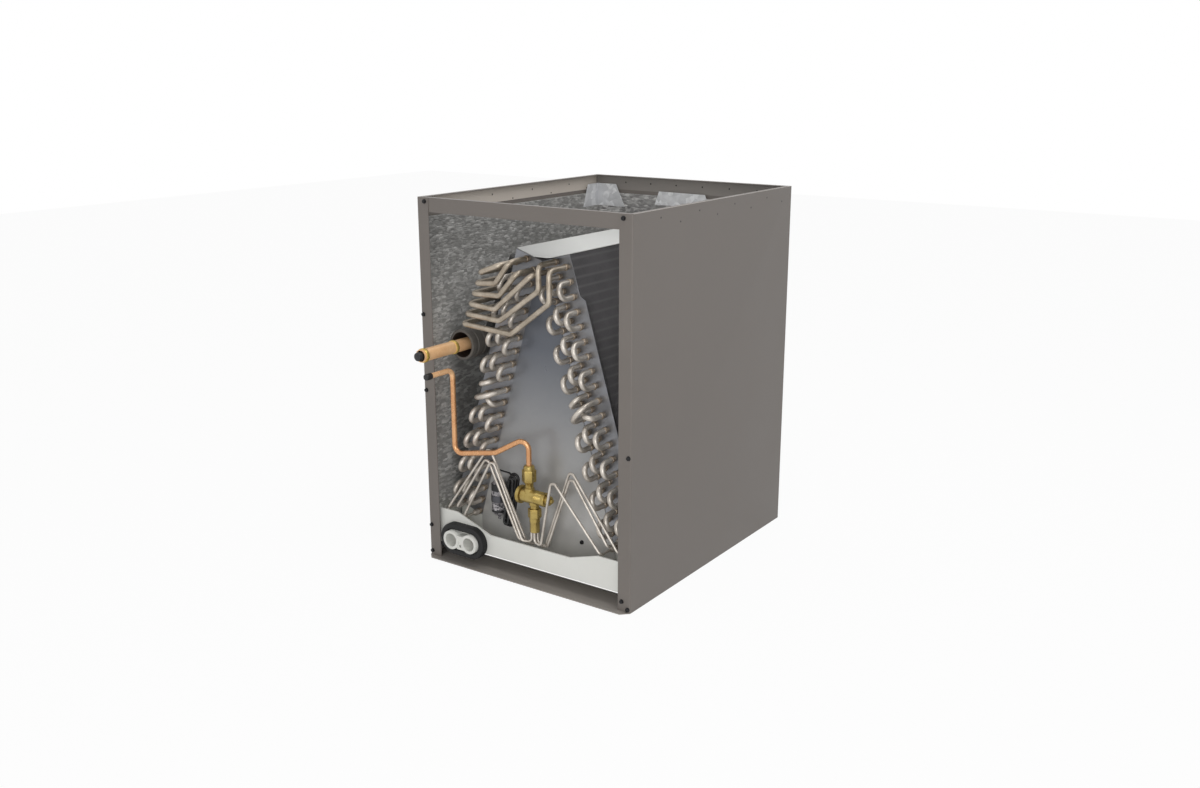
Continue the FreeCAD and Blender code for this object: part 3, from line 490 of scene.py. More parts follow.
def galvanised(name, light, dark, low, high, metal=0.75):
    surface = bpy.data.materials.new(name)
    surface.use_nodes = True
    tree = surface.node_tree
    shader = tree.nodes["Principled BSDF"]
    zinc = place_group(tree, SPANGLE, Light=light, Dark=dark, Scale=95)
    tree.links.new(zinc.outputs["Color"], shader.inputs["Base Color"])
    spread = tree.nodes.new("ShaderNodeMapRange")
    spread.inputs["To Min"].default_value = low
    spread.inputs["To Max"].default_value = high
    tree.links.new(zinc.outputs["Mask"], spread.inputs["Value"])
    tree.links.new(spread.outputs["Result"], shader.inputs["Roughness"])
    shader.inputs["Metallic"].default_value = metal
    add_bump(tree, shader, zinc.outputs["Height"], 0.0003)
    return surface


ZINC_SHEET = galvanised("galvanised_sheet", colour(150, 151, 155), colour(128, 130, 135), 0.26, 0.4)


# Painted shade: the delta plates' colour darkens towards the top, where the slabs keep them in shade.
def delta_zinc():
    surface = galvanised("delta_zinc", colour(204, 202, 198), colour(193, 192, 190), 0.26, 0.38, metal=0.3)
    tree = surface.node_tree
    tint(tree, remap(tree, place_axes(tree)["Z"], 0.02, 0.41), colour(96, 100, 108))
    return surface


DELTA_ZINC = delta_zinc()
for node in ("front_delta_plate", "rear_delta_plate"):
    add_copy(node.replace("_plate", "_panel"), node, 0.25, DELTA_ZINC, "galvanised")
for place in ("left_front", "right_front", "left_rear", "right_rear"):
    add_copy(place + "_end_sheet", place + "_tube_sheet", 0, ZINC_SHEET, "galvanised")
for node in ("left_pan_rail", "right_pan_rail"):
    add_copy(node.replace("pan_rail", "pan_support"), node, 0.3, ZINC_SHEET, "galvanised")


# Coil tubes. Hairpins come through from the back, and their open ends at the front are belled out.
# Return bends are brazed into them, so each joint has a collar and a bright bead of filler.
def rings_of(geometry):
    return [e for e in geometry if isinstance(e, bmesh.types.BMEdge)]


def along(bm, ring, direction, length):
    made = bmesh.ops.extrude_edge_only(bm, edges=ring)
    bmesh.ops.translate(bm, vec=direction * length, verts=verts_of(made))
    return rings_of(made["geom"])


# A round tube: straight runs between the points, and an arc of the given radius at each corner.
def add_tube(bm, points, bend, radius, sides=16, steps=7):
    points = [Vector(point) for point in points]
    heading = (points[1] - points[0]).normalized()
    turn = heading.to_track_quat("Z", "Y").to_matrix().to_4x4()
    start = bmesh.ops.create_circle(bm, cap_ends=False, segments=sides, radius=radius,
                                    matrix=Matrix.Translation(points[0]) @ turn)
    ring = list({edge for vert in start["verts"] for edge in vert.link_edges})
    first_ring = ring
    at = points[0]
    for corner, after in zip(points[1:-1], points[2:]):
        onward = (after - corner).normalized()
        angle = heading.angle(onward)
        reach = bend * math.tan(angle / 2)
        run = (corner - at).length - reach
        if run > 0.01:
            ring = along(bm, ring, heading, run)
        axis = heading.cross(onward).normalized()
        centre = corner - heading * reach + axis.cross(heading) * bend
        verts = list({vert for edge in ring for vert in edge.verts})
        count = max(2, round(steps * angle / (math.pi / 2)))
        spun = bmesh.ops.spin(bm, geom=verts + ring, cent=centre, axis=axis, angle=angle, steps=count)
        ring = rings_of(spun["geom_last"])
        at = corner + onward * reach
        heading = onward
    run = (points[-1] - at).length
    if run > 0.01:
        ring = along(bm, ring, heading, run)
    bmesh.ops.edgeloop_fill(bm, edges=first_ring)
    bmesh.ops.edgeloop_fill(bm, edges=ring)


# A turned part: an outline of (radius, distance) pairs is spun round its axis.
def add_turned(bm, outline, base, direction, steps=24):
    direction = Vector(direction).normalized()
    side = direction.orthogonal().normalized()
    base = Vector(base)
    verts = [bm.verts.new(base + direction * distance + side * radius) for radius, distance in outline]
    edges = [bm.edges.new(pair) for pair in zip(verts, verts[1:])]
    bmesh.ops.spin(bm, geom=verts + edges, cent=base, axis=direction, angle=2 * math.pi, steps=steps,
                   use_merge=True)


def tube_s(row, index):
    return (TUBE_PITCH / 4 if row % 2 else TUBE_PITCH * 3 / 4) + index * TUBE_PITCH


def row_t(row):
    return (row + 0.5) * ROW_PITCH


TUBE_METAL = grained("drawn_tube", colour(217, 210, 201), colour(167, 159, 149), 0.36, metal=0.6, coarse=45,
                     fine=420, share=0.35, bump=0.00006)
BRAZE = grained("braze_filler", colour(190, 176, 158), colour(128, 110, 90), 0.4, metal=0.7, coarse=160,
                fine=700, share=0.5, bump=0.0002)
COLLAR = [(TUBE_RADIUS, 0), (TUBE_RADIUS + 0.35, 0.4), (TUBE_RADIUS + 0.4, 3.2), (TUBE_RADIUS + 1.25, 5.2),
          (TUBE_RADIUS + 1.3, 8.4), (TUBE_RADIUS + 0.9, 9.4), (TUBE_RADIUS + 0.1, 9.9)]
LEG = 17.5
HAIRPIN_LEG = 14
CROSSOVER = 9
JOINT_PLANE = COIL_FRONT - 8
REAR_JOINT_PLANE = COIL_BACK - 6


def u_bend(bm, side, start, end, y, reach):
    row_a, index_a = start
    row_b, index_b = end
    first = slab_point(side, tube_s(row_a, index_a), row_t(row_a), y)
    last = slab_point(side, tube_s(row_b, index_b), row_t(row_b), y)
    span = (last - first).length
    out = Vector((0, reach + math.copysign(span / 2, reach), 0))
    add_tube(bm, [first, first + out, last + out, last], span / 2 - 0.001, TUBE_RADIUS)


for name, side in (("left", -1), ("right", 1)):
    bends = bmesh.new()
    for row in range(ROWS):
        for index in range(1, TUBES_PER_ROW - 1, 2):
            if index != CROSSOVER:
                u_bend(bends, side, (row, index), (row, index + 1), JOINT_PLANE, -LEG)
    add_piece(name + "_front_bends", bends, TUBE_METAL, "tube_metal", name + "_return_bends")
    cross = bmesh.new()
    first, last = (ROWS - 1, 0) if side > 0 else (0, ROWS - 1)
    for start, end in (((first, CROSSOVER), (last, CROSSOVER + 1)),
                       ((first, CROSSOVER + 1), (1, CROSSOVER + 1)),
                       ((1, CROSSOVER), (last, CROSSOVER))):
        u_bend(cross, side, start, end, JOINT_PLANE, -LEG)
    add_piece(name + "_cross_bends", cross, TUBE_METAL, "tube_metal", name + "_crossover_bends")
    rear = bmesh.new()
    for row in range(ROWS):
        for index in range(0, TUBES_PER_ROW, 2):
            u_bend(rear, side, (row, index), (row, index + 1), REAR_JOINT_PLANE, HAIRPIN_LEG)
    add_piece(name + "_rear_hairpins", rear, TUBE_METAL, "tube_metal", name + "_hairpin_tubes")
    collars = bmesh.new()
    for row in range(ROWS):
        for index in range(TUBES_PER_ROW):
            place = slab_point(side, tube_s(row, index), row_t(row), COIL_FRONT)
            add_turned(collars, COLLAR, place, (0, -1, 0), steps=16)
    add_piece(name + "_belled_ends", collars, BRAZE, "tube_metal")


# Apex cap. A flat white coated plate closes the gap between the slabs' top ends and keeps the air in the
# fins. It is cut back at its front left corner.
def cap_material():
    surface = grained("white_coat", colour(222, 223, 220), colour(214, 215, 211), 0.4, coarse=8, fine=1200,
                      share=0.3, bump=0.00003)
    tree = surface.node_tree
    axes = place_axes(tree)
    # Painted shade: the plate's colour greys towards its front left end, which lies in shade under the top
    # rail.
    cap_painted_shade = remap(tree, math_node(tree, "ADD", axes["Y"], axes["X"]), -0.1, -0.34)
    tint(tree, cap_painted_shade, colour(152, 153, 152))
    return surface


add_copy("apex_plate", "apex_cap", 0.4, cap_material(), "cap_white")


# Drain pan. One moulding of off-white plastic carries the slabs on ribs and collects the water in its
# troughs. Two drain ports come out through its front wall, and a short web with a small hole joins them.
PAN_PLASTIC = grained("pan_plastic", colour(229, 229, 224), colour(217, 217, 211), 0.5, coarse=10, fine=1500,
                      share=0.4, bump=0.00006)
WEB_FRONT = -279.5
WEB_DEPTH = 17
WEB_CORNERS = [(-148.9, 30.5), (-132.7, 30.5), (-132.7, 56), (-148.9, 56)]
WEB_HOLE = (-140.8, WEB_FRONT, 37.5)
WEB_HOLE_RADIUS = 2.7
for name, node, edge in (("pan_moulding", "drain_pan", 0.7), ("pan_opening_edge", "pan_opening_rim", 0.7),
                         ("pan_stiffeners", "pan_ribs", 0.6), ("pan_screw_bosses", "pan_bosses", 0.4)):
    add_copy(name, node, edge, PAN_PLASTIC, "pan_plastic")
bm = bmesh.new()
corners = [bm.verts.new((x, WEB_FRONT, z)) for x, z in WEB_CORNERS]
rim = [bm.edges.new(pair) for pair in zip(corners, corners[1:] + corners[:1])]
upright = Matrix.Translation(WEB_HOLE) @ Matrix.Rotation(math.pi / 2, 4, "X")
hole = bmesh.ops.create_circle(bm, cap_ends=False, segments=16, radius=WEB_HOLE_RADIUS, matrix=upright)
rim += list({edge for vert in hole["verts"] for edge in vert.link_edges})
filled = bmesh.ops.triangle_fill(bm, use_beauty=True, edges=rim)["geom"]
made = bmesh.ops.extrude_face_region(bm, geom=[f for f in filled if isinstance(f, bmesh.types.BMFace)])
bmesh.ops.translate(bm, vec=(0, WEB_DEPTH, 0), verts=verts_of(made))
add_piece("port_web", bm, PAN_PLASTIC, "pan_plastic")


# Drain gasket. A soft black rubber ring surrounds both drain ports and seals against the front panel.
RUBBER = grained("black_rubber", colour(17, 17, 18), colour(10, 10, 11), 0.7, coarse=40, fine=1300, share=0.6,
                 bump=0.00008)
add_copy("port_gasket", "drain_gasket", 0, RUBBER, "black_rubber")


# Suction feeders. Six bent tubes gather the cold gas from the slabs' top tubes and run into the header,
# each brazed at both ends.
HEADER_TOP = Vector((-98, -165, 538))
HEADER_LEAN = math.radians(23.5)
HEADER_RADIUS = 11.1
FEEDER_PLANE = -258.0
FEEDER_SPACING = 20.06
FEEDER_BEND = 11
PORT_SINK = 1.1
# Each feeder: the slab's side, the tube row, the knee's way across and up, and the last riser's height.
FEEDERS = [
    (-1, 2, (20, 8), 0),
    (-1, 1, (44, 4), 0),
    (-1, 0, (60, 2), 0),
    (1, 0, (58, -4), 0),
    (1, 1, (76, -4), 42),
    (1, 2, (108, -6), 54),
]


def header_axis(distance):
    return HEADER_TOP - Vector((math.sin(HEADER_LEAN), 0, math.cos(HEADER_LEAN))) * distance


FEEDER_METAL = grained("feeder_tube", colour(194, 183, 167), colour(144, 132, 116), 0.36, metal=0.6,
                       coarse=45, fine=420, share=0.35, bump=0.00006)
for number, (side, row, knee, riser) in enumerate(FEEDERS):
    port = header_axis(number * FEEDER_SPACING)
    port.y = HEADER_TOP.y - HEADER_RADIUS + PORT_SINK
    start = Vector((port.x, FEEDER_PLANE, port.z))
    end = slab_point(side, tube_s(row, 0), row_t(row), JOINT_PLANE)
    turn = Vector((end.x, FEEDER_PLANE, end.z))
    points = [port, start, start + Vector((knee[0], 0, knee[1]))]
    if riser:
        points.append(turn - Vector((0, 0, riser)))
    bm = bmesh.new()
    add_tube(bm, points + [turn, end], FEEDER_BEND, TUBE_RADIUS)
    name = "feeder_" + str(number + 1)
    add_piece(name, bm, FEEDER_METAL, "tube_metal", "suction_" + name)


# Suction header. A wide leaning tube, wrapped in dark foam tape against sweating, takes the six feeders.
# Its top end is closed by a brazed cap.
HEADER_WRAP = grained("foam_wrap", colour(62, 61, 61), colour(38, 37, 37), 0.75, coarse=60, fine=1100,
                      share=0.6, bump=0.0002)
HEADER_ABOVE = 17
HEADER_BELOW = 11
HEADER_LENGTH = HEADER_ABOVE + 5 * FEEDER_SPACING + HEADER_BELOW
WRAPS = 9
SEAM_DEPTH = 0.35
SEAM_EDGE = 1.2
bm = bmesh.new()
outline = [(0, -2), (HEADER_RADIUS - 1.5, -2), (HEADER_RADIUS, -0.5)]
for k in range(WRAPS):
    low = k * HEADER_LENGTH / WRAPS
    high = (k + 1) * HEADER_LENGTH / WRAPS
    outline += [(HEADER_RADIUS - SEAM_DEPTH, low + 0.1), (HEADER_RADIUS, low + SEAM_EDGE),
                (HEADER_RADIUS, high - SEAM_EDGE)]
outline += [(HEADER_RADIUS - SEAM_DEPTH, HEADER_LENGTH), (0, HEADER_LENGTH)]
add_turned(bm, outline, header_axis(-HEADER_ABOVE), header_axis(1) - header_axis(0))
add_piece("wrapped_header", bm, HEADER_WRAP, "header_wrap", "suction_header", "header_cap")


# Suction stub. The header's lower end turns out through the front as a bare copper tube.
# Two brass collars are brazed on it, and a black plug keeps its mouth clean.
STUB_COPPER = grained("stub_copper", colour(255, 212, 162), colour(238, 186, 134), 0.34, metal=0.2, coarse=28,
                      fine=260, share=0.3, bump=0.00008)
COLLAR_BRASS = grained("collar_brass", colour(226, 196, 118), colour(186, 158, 72), 0.3, metal=0.6, coarse=60,
                       fine=300, share=0.4, bump=0.0001)
STUB_CORNER = Vector((-157.13, -165, 402))
STUB_LENGTH = 180
STUB_BEND = 27
STUB_COLLARS = (-262, -338)
MOUTH = STUB_CORNER - Vector((0, STUB_LENGTH, 0))


def stub_bend(bm, above, length, radius):
    points = [header_axis(HEADER_LENGTH - above), STUB_CORNER, STUB_CORNER - Vector((0, length, 0))]
    add_tube(bm, points, STUB_BEND, radius, sides=28, steps=12)


bm = bmesh.new()
stub_bend(bm, 17, STUB_LENGTH, HEADER_RADIUS)
add_piece("suction_stub_tube", bm, STUB_COPPER, "copper", "suction_stub")
bm = bmesh.new()
half_ring = [(HEADER_RADIUS - 0.3, 3.5), (HEADER_RADIUS + 0.9, 3.3), (HEADER_RADIUS + 1.4, 2.4)]
ring = [(radius, -along_stub) for radius, along_stub in half_ring] + half_ring[::-1]
for y in STUB_COLLARS:
    add_turned(bm, ring, (STUB_CORNER.x, y, STUB_CORNER.z), (0, 1, 0), steps=32)
add_turned(bm, [(7, 0), (9.7, 0), (10, 0.3), (10, 8), (7, 8), (7, 0)], MOUTH, (0, 1, 0), steps=32)
add_piece("stub_collars", bm, COLLAR_BRASS, "brass", "suction_rings")
PLUG = grained("plug_plastic", colour(36, 36, 38), colour(24, 24, 26), 0.42, coarse=50, fine=900, share=0.4)
bm = bmesh.new()
add_turned(bm, [(0, -8), (6.9, -8), (6.9, 0), (7.6, 0), (7.6, 7), (7.1, 8.4), (5.8, 9), (0, 9)], MOUTH,
           (0, -1, 0))
add_piece("suction_stub_plug", bm, PLUG, "plug_plastic", "suction_plug")


# Bend sleeve. The foam tape goes on round the bend between the header and the boot.
bm = bmesh.new()
stub_bend(bm, 18, 29, HEADER_RADIUS + 0.5)
add_piece("bend_sleeve", bm, HEADER_WRAP, "header_wrap")


# Suction boot. A grey rubber cup on the stub seals the hole in the front panel. Its wall has shallow folds,
# and the inside of the cup is painted dark brown, as painted shade in its hollow.
def boot_material():
    surface = grained("grey_rubber", colour(98, 94, 89), colour(80, 76, 72), 0.55, coarse=40, fine=1300,
                      share=0.6, bump=0.00008)
    tree = surface.node_tree
    place = tree.nodes.new("ShaderNodeTexCoord")
    flat = tree.nodes.new("ShaderNodeVectorMath")
    flat.operation = "MULTIPLY"
    flat.inputs[1].default_value = (1, 0, 1)
    spread = tree.nodes.new("ShaderNodeVectorMath")
    spread.operation = "DISTANCE"
    spread.inputs[1].default_value = (STUB_CORNER.x * MILLIMETRE, 0, STUB_CORNER.z * MILLIMETRE)
    tree.links.new(place.outputs["Object"], flat.inputs[0])
    tree.links.new(flat.outputs["Vector"], spread.inputs[0])
    tint(tree, remap(tree, spread.outputs["Value"], 0.0232, 0.0222), colour(40, 31, 25))
    return surface


BOOT_FRONT = -240
BOOT_OUTLINE = [(11.1, 48), (26.6, 48), (27.5, 47), (27.5, 34), (26.6, 33), (26.6, 30), (27.5, 29),
                (27.5, 16), (26.6, 15), (26.6, 12), (27.5, 11), (27.5, 1.5), (26.9, 0.4), (25.9, 0),
                (23.5, 0), (22.5, 0.4), (22, 1.5), (22, 41.5), (20.5, 43), (11.1, 43), (11.1, 48)]
bm = bmesh.new()
add_turned(bm, BOOT_OUTLINE, (STUB_CORNER.x, BOOT_FRONT, STUB_CORNER.z), (0, 1, 0), steps=40)
add_piece("stub_boot", bm, boot_material(), "black_rubber", "suction_boot")


# Liquid line. A thin copper tube comes in through the front, drops, and runs across and up into the valve.
# Its top run, out at the open front, gets a paler, less metallic colour as painted light, and a black plug
# closes its end.
COPPER_METAL = 0.62
TOP_RUN_METAL = 0.2


def liquid_copper():
    surface = grained("copper", colour(224, 174, 127), colour(198, 140, 94), 0.27, metal=COPPER_METAL,
                      coarse=28, fine=260, share=0.3, bump=0.00008)
    tree = surface.node_tree
    # Painted light: above this height the tube's colour is paler and less metallic.
    high = remap(tree, place_axes(tree)["Z"], 0.344, 0.356)
    tint(tree, high, colour(255, 206, 156))
    duller = math_node(tree, "MULTIPLY", high, COPPER_METAL - TOP_RUN_METAL)
    tree.links.new(math_node(tree, "SUBTRACT", COPPER_METAL, duller),
                   tree.nodes["Principled BSDF"].inputs["Metallic"])
    return surface


LIQUID = Vector((-161, -262, 361))
LIQUID_TIP = Vector((-161, -318, 361))
LIQUID_LOW = 206
LIQUID_BEND = 14
VALVE = Vector((-7, -244, 152))
VALVE_RADIUS = 12.5
INLET_NECK = 14
INLET_NUT_HEIGHT = 30
INLET_TOP = VALVE.z + VALVE_RADIUS + INLET_NECK + INLET_NUT_HEIGHT
bm = bmesh.new()
add_tube(bm, [LIQUID_TIP, LIQUID, (LIQUID.x, LIQUID.y, LIQUID_LOW), (VALVE.x - 61, LIQUID.y + 2, 224),
              (VALVE.x, VALVE.y, 260), (VALVE.x, VALVE.y, INLET_TOP - 18)],
         LIQUID_BEND, TUBE_RADIUS, sides=18, steps=9)
add_piece("liquid_tube", bm, liquid_copper(), "copper", "liquid_line")
bm = bmesh.new()
add_turned(bm, [(0, -6), (4, -6), (4, 0), (5.96, 0), (5.96, 3), (5.5, 3.4), (5.5, 4.4), (5.96, 4.8),
                (5.96, 11.2), (5.2, 12.6), (4, 13), (0, 13)], LIQUID_TIP, (0, -1, 0))
add_piece("liquid_tube_plug", bm, PLUG, "plug_plastic", "liquid_plug")


# Expansion valve. A forged and turned brass body stands on the distributor, with flare nuts above and
# below, a flat power head on the left and a capped stem on the right.
BRASS = grained("brass", colour(186, 165, 101), colour(149, 126, 66), 0.3, metal=0.75, coarse=50, fine=600,
                share=0.35, bump=0.00006)
THREAD_PITCH = 1.4
THREAD_DEPTH = 0.55


def add_hex(bm, flats, base, direction, height, edge=0.9):
    direction = Vector(direction).normalized()
    turn = direction.to_track_quat("Z", "Y").to_matrix().to_4x4()
    place = Matrix.Translation(Vector(base) + direction * height / 2) @ turn
    corner = flats / math.sqrt(3)
    made = bmesh.ops.create_cone(bm, cap_ends=True, segments=6, radius1=corner, radius2=corner, depth=height,
                                 matrix=place)
    faces = {face for vert in made["verts"] for face in vert.link_faces}
    ends = [face for face in faces if len(face.verts) == 6]
    round_edges(bm, list({rim for face in ends for rim in face.edges}), edge, 3)


def threaded(radius, start, end):
    outline = []
    count = max(1, int((end - start) / THREAD_PITCH))
    for k in range(count):
        at = start + k * (end - start) / count
        outline += [(radius - THREAD_DEPTH, at), (radius, at + THREAD_PITCH * 0.4),
                    (radius, at + THREAD_PITCH * 0.55)]
    return outline + [(radius - THREAD_DEPTH, end)]


OUTLET = Vector((4, VALVE.y, VALVE.z))
INLET_NUT = VALVE + Vector((0, 0, VALVE_RADIUS + INLET_NECK))
INLET_FLATS = 22
INLET_HEX = 22
OUTLET_NECK = 20.5
OUTLET_NUT = 17
NUT_FLATS = 21
bm = bmesh.new()
barrel = [(0, -14), (11.2, -14), (12.5, -12.8), (12.5, -3), (11.8, -2.4), (11.8, -1), (12.5, -0.4),
          (12.5, 17), (11.9, 17.6)]
barrel += threaded(12.2, 18, 30)
barrel += [(11.4, 30.5), (12.5, 31), (12.5, 37), (11.6, 38), (0, 38)]
add_turned(bm, barrel, VALVE, (1, 0, 0), steps=32)
neck = [(0, 0), (9.4, 0), (9.4, 14), (8.2, 15)] + threaded(7.5, 16, 26.4) + [(0, 26.5)]
add_turned(bm, neck, VALVE, (0, 0, 1))
add_turned(bm, [(0, 0), (9.6, 0), (9.6, 14), (8, 15), (8, OUTLET_NECK), (0, OUTLET_NECK)], OUTLET, (0, 0, -1))
add_hex(bm, NUT_FLATS, VALVE + Vector((2, 0, 0)), (1, 0, 0), 13)
add_piece("valve_barrel", bm, BRASS, "brass", "valve_body")
bm = bmesh.new()
add_hex(bm, INLET_FLATS, INLET_NUT, (0, 0, 1), INLET_HEX)
inlet_skirt = [(0, 21.5), (10, 21.5), (10, 26), (9.4, 28.4), (8, 29.8), (5.6, 30), (0, INLET_NUT_HEIGHT)]
add_turned(bm, inlet_skirt, INLET_NUT, (0, 0, 1))
add_piece("inlet_flare_nut", bm, BRASS, "brass", "inlet_nut")
bm = bmesh.new()
power_head = [(0, 0), (8, 0), (15.4, 0.6), (16.5, 1.6), (16.5, 3), (16, 3.5), (16, 4.1), (16.5, 4.6),
              (16.5, 6), (15.2, 7.4), (11, 9.6), (6, 11), (3.5, 11.4), (3.3, 13), (0, 13)]
add_turned(bm, power_head, VALVE - Vector((14, 0, 0)), (-1, 0, 0), steps=36)
add_piece("power_element", bm, BRASS, "brass", "power_head")
bm = bmesh.new()
stem_cap = [(0, 0), (8.5, 0), (8.5, 0.8), (8, 1.2), (8, 1.9), (8.5, 2.3), (8.5, 6.8), (7.6, 8), (4, 8),
            (4, 12.4), (3.4, 13), (0, 13)]
add_turned(bm, stem_cap, VALVE + Vector((38, 0, 0)), (1, 0, 0))
add_piece("stem_cap", bm, BRASS, "brass", "valve_stem")
bm = bmesh.new()
add_hex(bm, NUT_FLATS, OUTLET - Vector((0, 0, OUTLET_NECK)), (0, 0, -1), OUTLET_NUT)
add_piece("outlet_flare_nut", bm, BRASS, "brass", "outlet_nut")


# Distributor. A small tapered brass body splits the liquid into six thin tubes.
# They loop up in front of the coil and end in its lowest tubes.
DISTRIBUTOR = OUTLET - Vector((0, 0, OUTLET_NECK + OUTLET_NUT))
DISTRIBUTOR_HEIGHT = 27
bm = bmesh.new()
add_turned(bm, [(0, 0), (9, 0), (9.5, 0.6), (9.5, 7.4), (9, 8.1), (8.7, 26.2), (8.1, DISTRIBUTOR_HEIGHT),
                (0, DISTRIBUTOR_HEIGHT)], DISTRIBUTOR, (0, 0, -1))
add_piece("distributor_cone", bm, BRASS, "brass", "distributor")
THIN_RADIUS = 2.4
THIN_BEND = 7
HOLE_RING = 6.2
LOOP_END_PLANE = -255.5
TUBE_END = [(0, 0), (5.6, 0), (5.9, 2), (5.9, 8), (4.2, 11), (2.6, 13), (0, 13)]
# Each loop: the slab's side, the tube row, the drop, the rise's foot in X and Y, the peak in X and Z, and
# the plane that the peak lies in.
LOOPS = [
    (1, 0, 18, (25, -255), (54, 200), -260.5),
    (1, 1, 20, (35, -249), (91, 211), -254.5),
    (1, 2, 26, (24, -241), (87, 220), -250.5),
    (-1, 0, 18, (-16, -255), (-76, 212), -260.5),
    (-1, 1, 20, (-28, -249), (-93, 211), -254.5),
    (-1, 2, 26, (-18, -241), (-90, 229), -251.0),
]
for number, (side, row, drop, rise, peak, plane) in enumerate(LOOPS):
    angle = math.radians((-60, 0, 60)[row])
    start = DISTRIBUTOR + Vector((side * HOLE_RING * math.cos(angle), HOLE_RING * math.sin(angle),
                                  -DISTRIBUTOR_HEIGHT))
    end = slab_point(side, tube_s(row, TUBES_PER_ROW - 1), row_t(row), JOINT_PLANE)
    low = start - Vector((0, 0, drop))
    bm = bmesh.new()
    add_tube(bm, [start, low, (rise[0], rise[1], low.z), (peak[0], plane, peak[1]),
                  (end.x, LOOP_END_PLANE, end.z), end], THIN_BEND, THIN_RADIUS, sides=12)
    add_turned(bm, TUBE_END, end, (0, -1, 0), steps=16)
    order = str(number + 1)
    add_piece("thin_tube_" + order, bm, TUBE_METAL, "tube_metal", "distributor_tube_" + order)


# Sensing bulb and capillary. The bulb wears a woven grey sleeve with black ends and is clipped to the front
# plate. Its spare capillary, in a black sleeve, is coiled into a hank, and its end goes to the power head.
BLACK_SLEEVE = grained("black_sleeve", colour(22, 22, 24), colour(11, 11, 12), 0.5, coarse=70, fine=1000,
                       share=0.5, bump=0.00008)
WOVEN_SLEEVE = foil("woven_sleeve", colour(196, 192, 194), colour(58, 56, 60), 0.6, 0.0004, metal=0, cell=380)
# The clip's dark colour is partly oxidised zinc and partly painted shade.
CLIP_STEEL = galvanised("clip_steel", colour(92, 92, 96), colour(70, 70, 74), 0.3, 0.5)
BULB = Vector((-95, -221.8, 98))
BULB_WRAPS = ((-0.5, 5), (40, 54))
bm = bmesh.new()
add_turned(bm, [(0, -15), (2.5, -15), (2.5, -7), (7, -7), (11.5, -2.5), (13, 0.5), (13, 51.5), (11.5, 54.5),
                (6.5, 59), (2, 59), (0, 59)], BULB, (0, 0, 1), steps=28)
add_piece("bulb_sleeve", bm, WOVEN_SLEEVE, "capillary_black", "sensing_bulb")
bm = bmesh.new()
for low, high in BULB_WRAPS:
    wrap = [(11, low), (13.3, low + 1), (13.4, low + 2), (13.4, high - 2), (13.2, high - 0.6), (11, high)]
    add_turned(bm, wrap, BULB, (0, 0, 1), steps=28)
add_piece("bulb_end_wraps", bm, BLACK_SLEEVE, "capillary_black")
add_copy("bulb_strap", "bulb_clip", 0.15, CLIP_STEEL, "galvanised")
add_copy("capillary_hank", "capillary_coil", 0, BLACK_SLEEVE, "capillary_black", angle=50)


# Screws. Black steel screws with a hexagon head and a washer sit in the flanges and rails of the front.
# Two more hold the front delta plate.
SCREW = grained("black_screw", colour(30, 30, 32), colour(19, 19, 21), 0.36, metal=0.4, coarse=90, fine=900,
                share=0.4)
CABINET_SCREWS = [(-205, 653), (205, 653), (205, 18), (217, 6), (-217, 455), (-217, 317), (-217, 60),
                  (-217, 9), (217, 270)]
PLATE_SCREWS = [(-79.4, 73), (79.4, 73)]
CABINET_FACE = -270
PLATE_FACE = -207.5
WASHER = [(0, 0), (4, 0), (4, 0.5), (3.6, 1.1), (0, 1.1)]
HEAD_FLATS = 6
HEAD_HEIGHT = 3.2


def add_screws(name, node, places, face):
    bm = bmesh.new()
    for x, z in places:
        add_turned(bm, WASHER, (x, face, z), (0, -1, 0), steps=20)
        add_hex(bm, HEAD_FLATS, (x, face, z), (0, -1, 0), HEAD_HEIGHT, edge=0.4)
    add_piece(name, bm, SCREW, "black_screw", node)


add_screws("cabinet_hex_screws", "cabinet_screws", CABINET_SCREWS, CABINET_FACE)
add_screws("plate_hex_screws", "delta_screws", PLATE_SCREWS, PLATE_FACE)


# Hole shade. The duct screw holes near the walls' top edges hold small dark discs as painted shade for the
# open holes.
HOLE_SHADE_DISC = [(0, 0.1), (1.6, 0.1), (1.6, 1.0), (1.2, 1.15), (0, 1.15)]
WALL_OUTSIDE = 222.25
BACK_OUTSIDE = 270
UPPER_HOLES, LOWER_HOLES = 647, 635
bm = bmesh.new()
for number, y in enumerate(range(-190, 240, 60)):
    for side in (-1, 1):
        height = LOWER_HOLES if number % 2 else UPPER_HOLES
        add_turned(bm, HOLE_SHADE_DISC, (side * WALL_OUTSIDE, y, height), (-side, 0, 0), steps=12)
for x in range(-150, 160, 60):
    add_turned(bm, HOLE_SHADE_DISC, (x, BACK_OUTSIDE, UPPER_HOLES), (0, -1, 0), steps=12)
add_piece("hole_shade_discs", bm, SCREW, "black_screw")


# Studio. A pale floor and an even white background, with soft light from the front and from above on the
# right.
WHITE = (1, 1, 1, 1)
AMBIENT = 0.5
FLOOR_GREY = (0.86, 0.86, 0.86, 1)
FLOOR_WHITE = 0.94


def white_to_camera(tree):
    path = tree.nodes.new("ShaderNodeLightPath")
    seen = math_node(tree, "MAXIMUM", path.outputs["Is Camera Ray"], path.outputs["Is Glossy Ray"])
    return math_node(tree, "MAXIMUM", seen, path.outputs["Is Transmission Ray"])


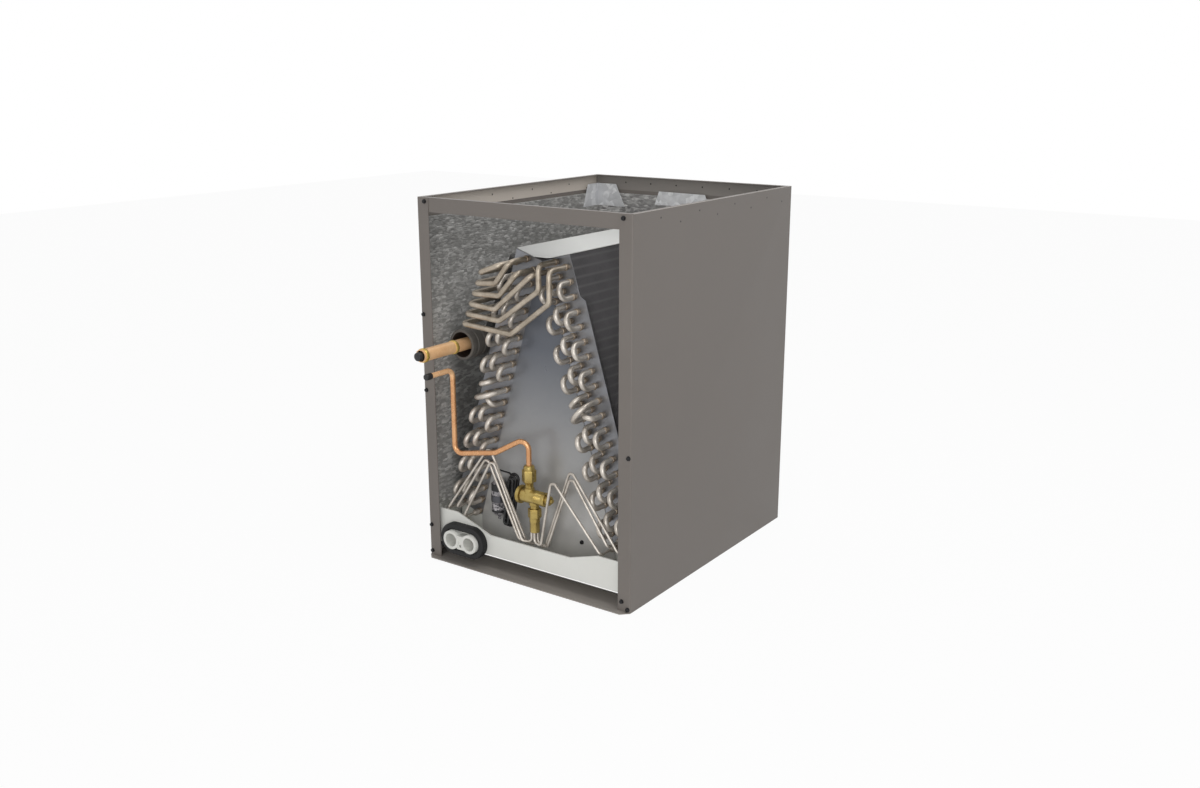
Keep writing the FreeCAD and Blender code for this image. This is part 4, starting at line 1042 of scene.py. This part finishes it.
world = bpy.data.worlds.new("studio")
bpy.context.scene.world = world
world.use_nodes = True
tree = world.node_tree
ambient = tree.nodes["Background"]
ambient.inputs["Color"].default_value = WHITE
ambient.inputs["Strength"].default_value = AMBIENT
backdrop = tree.nodes.new("ShaderNodeBackground")
backdrop.inputs["Color"].default_value = WHITE
backdrop.inputs["Strength"].default_value = 1.0
chosen = tree.nodes.new("ShaderNodeMixShader")
tree.links.new(white_to_camera(tree), chosen.inputs[0])
tree.links.new(ambient.outputs[0], chosen.inputs[1])
tree.links.new(backdrop.outputs[0], chosen.inputs[2])
tree.links.new(chosen.outputs[0], tree.nodes["World Output"].inputs["Surface"])

bm = bmesh.new()
bmesh.ops.create_grid(bm, x_segments=1, y_segments=1, size=6)
mesh = bpy.data.meshes.new("floor")
bm.to_mesh(mesh)
bm.free()
floor_paper = bpy.data.materials.new("pale_paper")
floor_paper.use_nodes = True
tree = floor_paper.node_tree
shader = tree.nodes["Principled BSDF"]
shader.inputs["Base Color"].default_value = FLOOR_GREY
shader.inputs["Roughness"].default_value = 0.9
glow = tree.nodes.new("ShaderNodeEmission")
glow.inputs["Color"].default_value = WHITE
mixed = tree.nodes.new("ShaderNodeMixShader")
tree.links.new(math_node(tree, "MULTIPLY", white_to_camera(tree), FLOOR_WHITE), mixed.inputs[0])
tree.links.new(shader.outputs[0], mixed.inputs[1])
tree.links.new(glow.outputs[0], mixed.inputs[2])
tree.links.new(mixed.outputs[0], tree.nodes["Material Output"].inputs["Surface"])
mesh.materials.append(floor_paper)
floor = bpy.data.objects.new("floor", mesh)
bpy.context.scene.collection.objects.link(floor)
floor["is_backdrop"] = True


def softbox(name, place, target, size, power):
    lamp = bpy.data.lights.new(name, "AREA")
    lamp.shape = "RECTANGLE"
    lamp.size, lamp.size_y = size
    lamp.energy = power
    body = bpy.data.objects.new(name, lamp)
    body.location = place
    body.rotation_euler = (Vector(target) - Vector(place)).to_track_quat("-Z", "Y").to_euler()
    bpy.context.scene.collection.objects.link(body)


softbox("front_light", (1.3, -2.7, 0.8), (0, 0, 0.33), (1.6, 1.4), 24)
softbox("top_light", (0.8, -0.3, 2.4), (0, 0, 0.45), (1.2, 1.2), 16)

CAMERA_PLACE = (1.22265, -1.7924, 0.87737)
CAMERA_TURN = math.radians(34.883)
CAMERA_DIP = math.radians(15.327)
lens = bpy.data.cameras.new("camera")
lens.lens = 35.97
lens.sensor_width = 36
camera = bpy.data.objects.new("camera", lens)
camera.location = CAMERA_PLACE
camera.rotation_euler = (math.pi / 2 - CAMERA_DIP, 0, CAMERA_TURN)
bpy.context.scene.collection.objects.link(camera)
bpy.context.scene.camera = camera
bpy.context.scene.view_settings.view_transform = "Standard"

low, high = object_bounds()
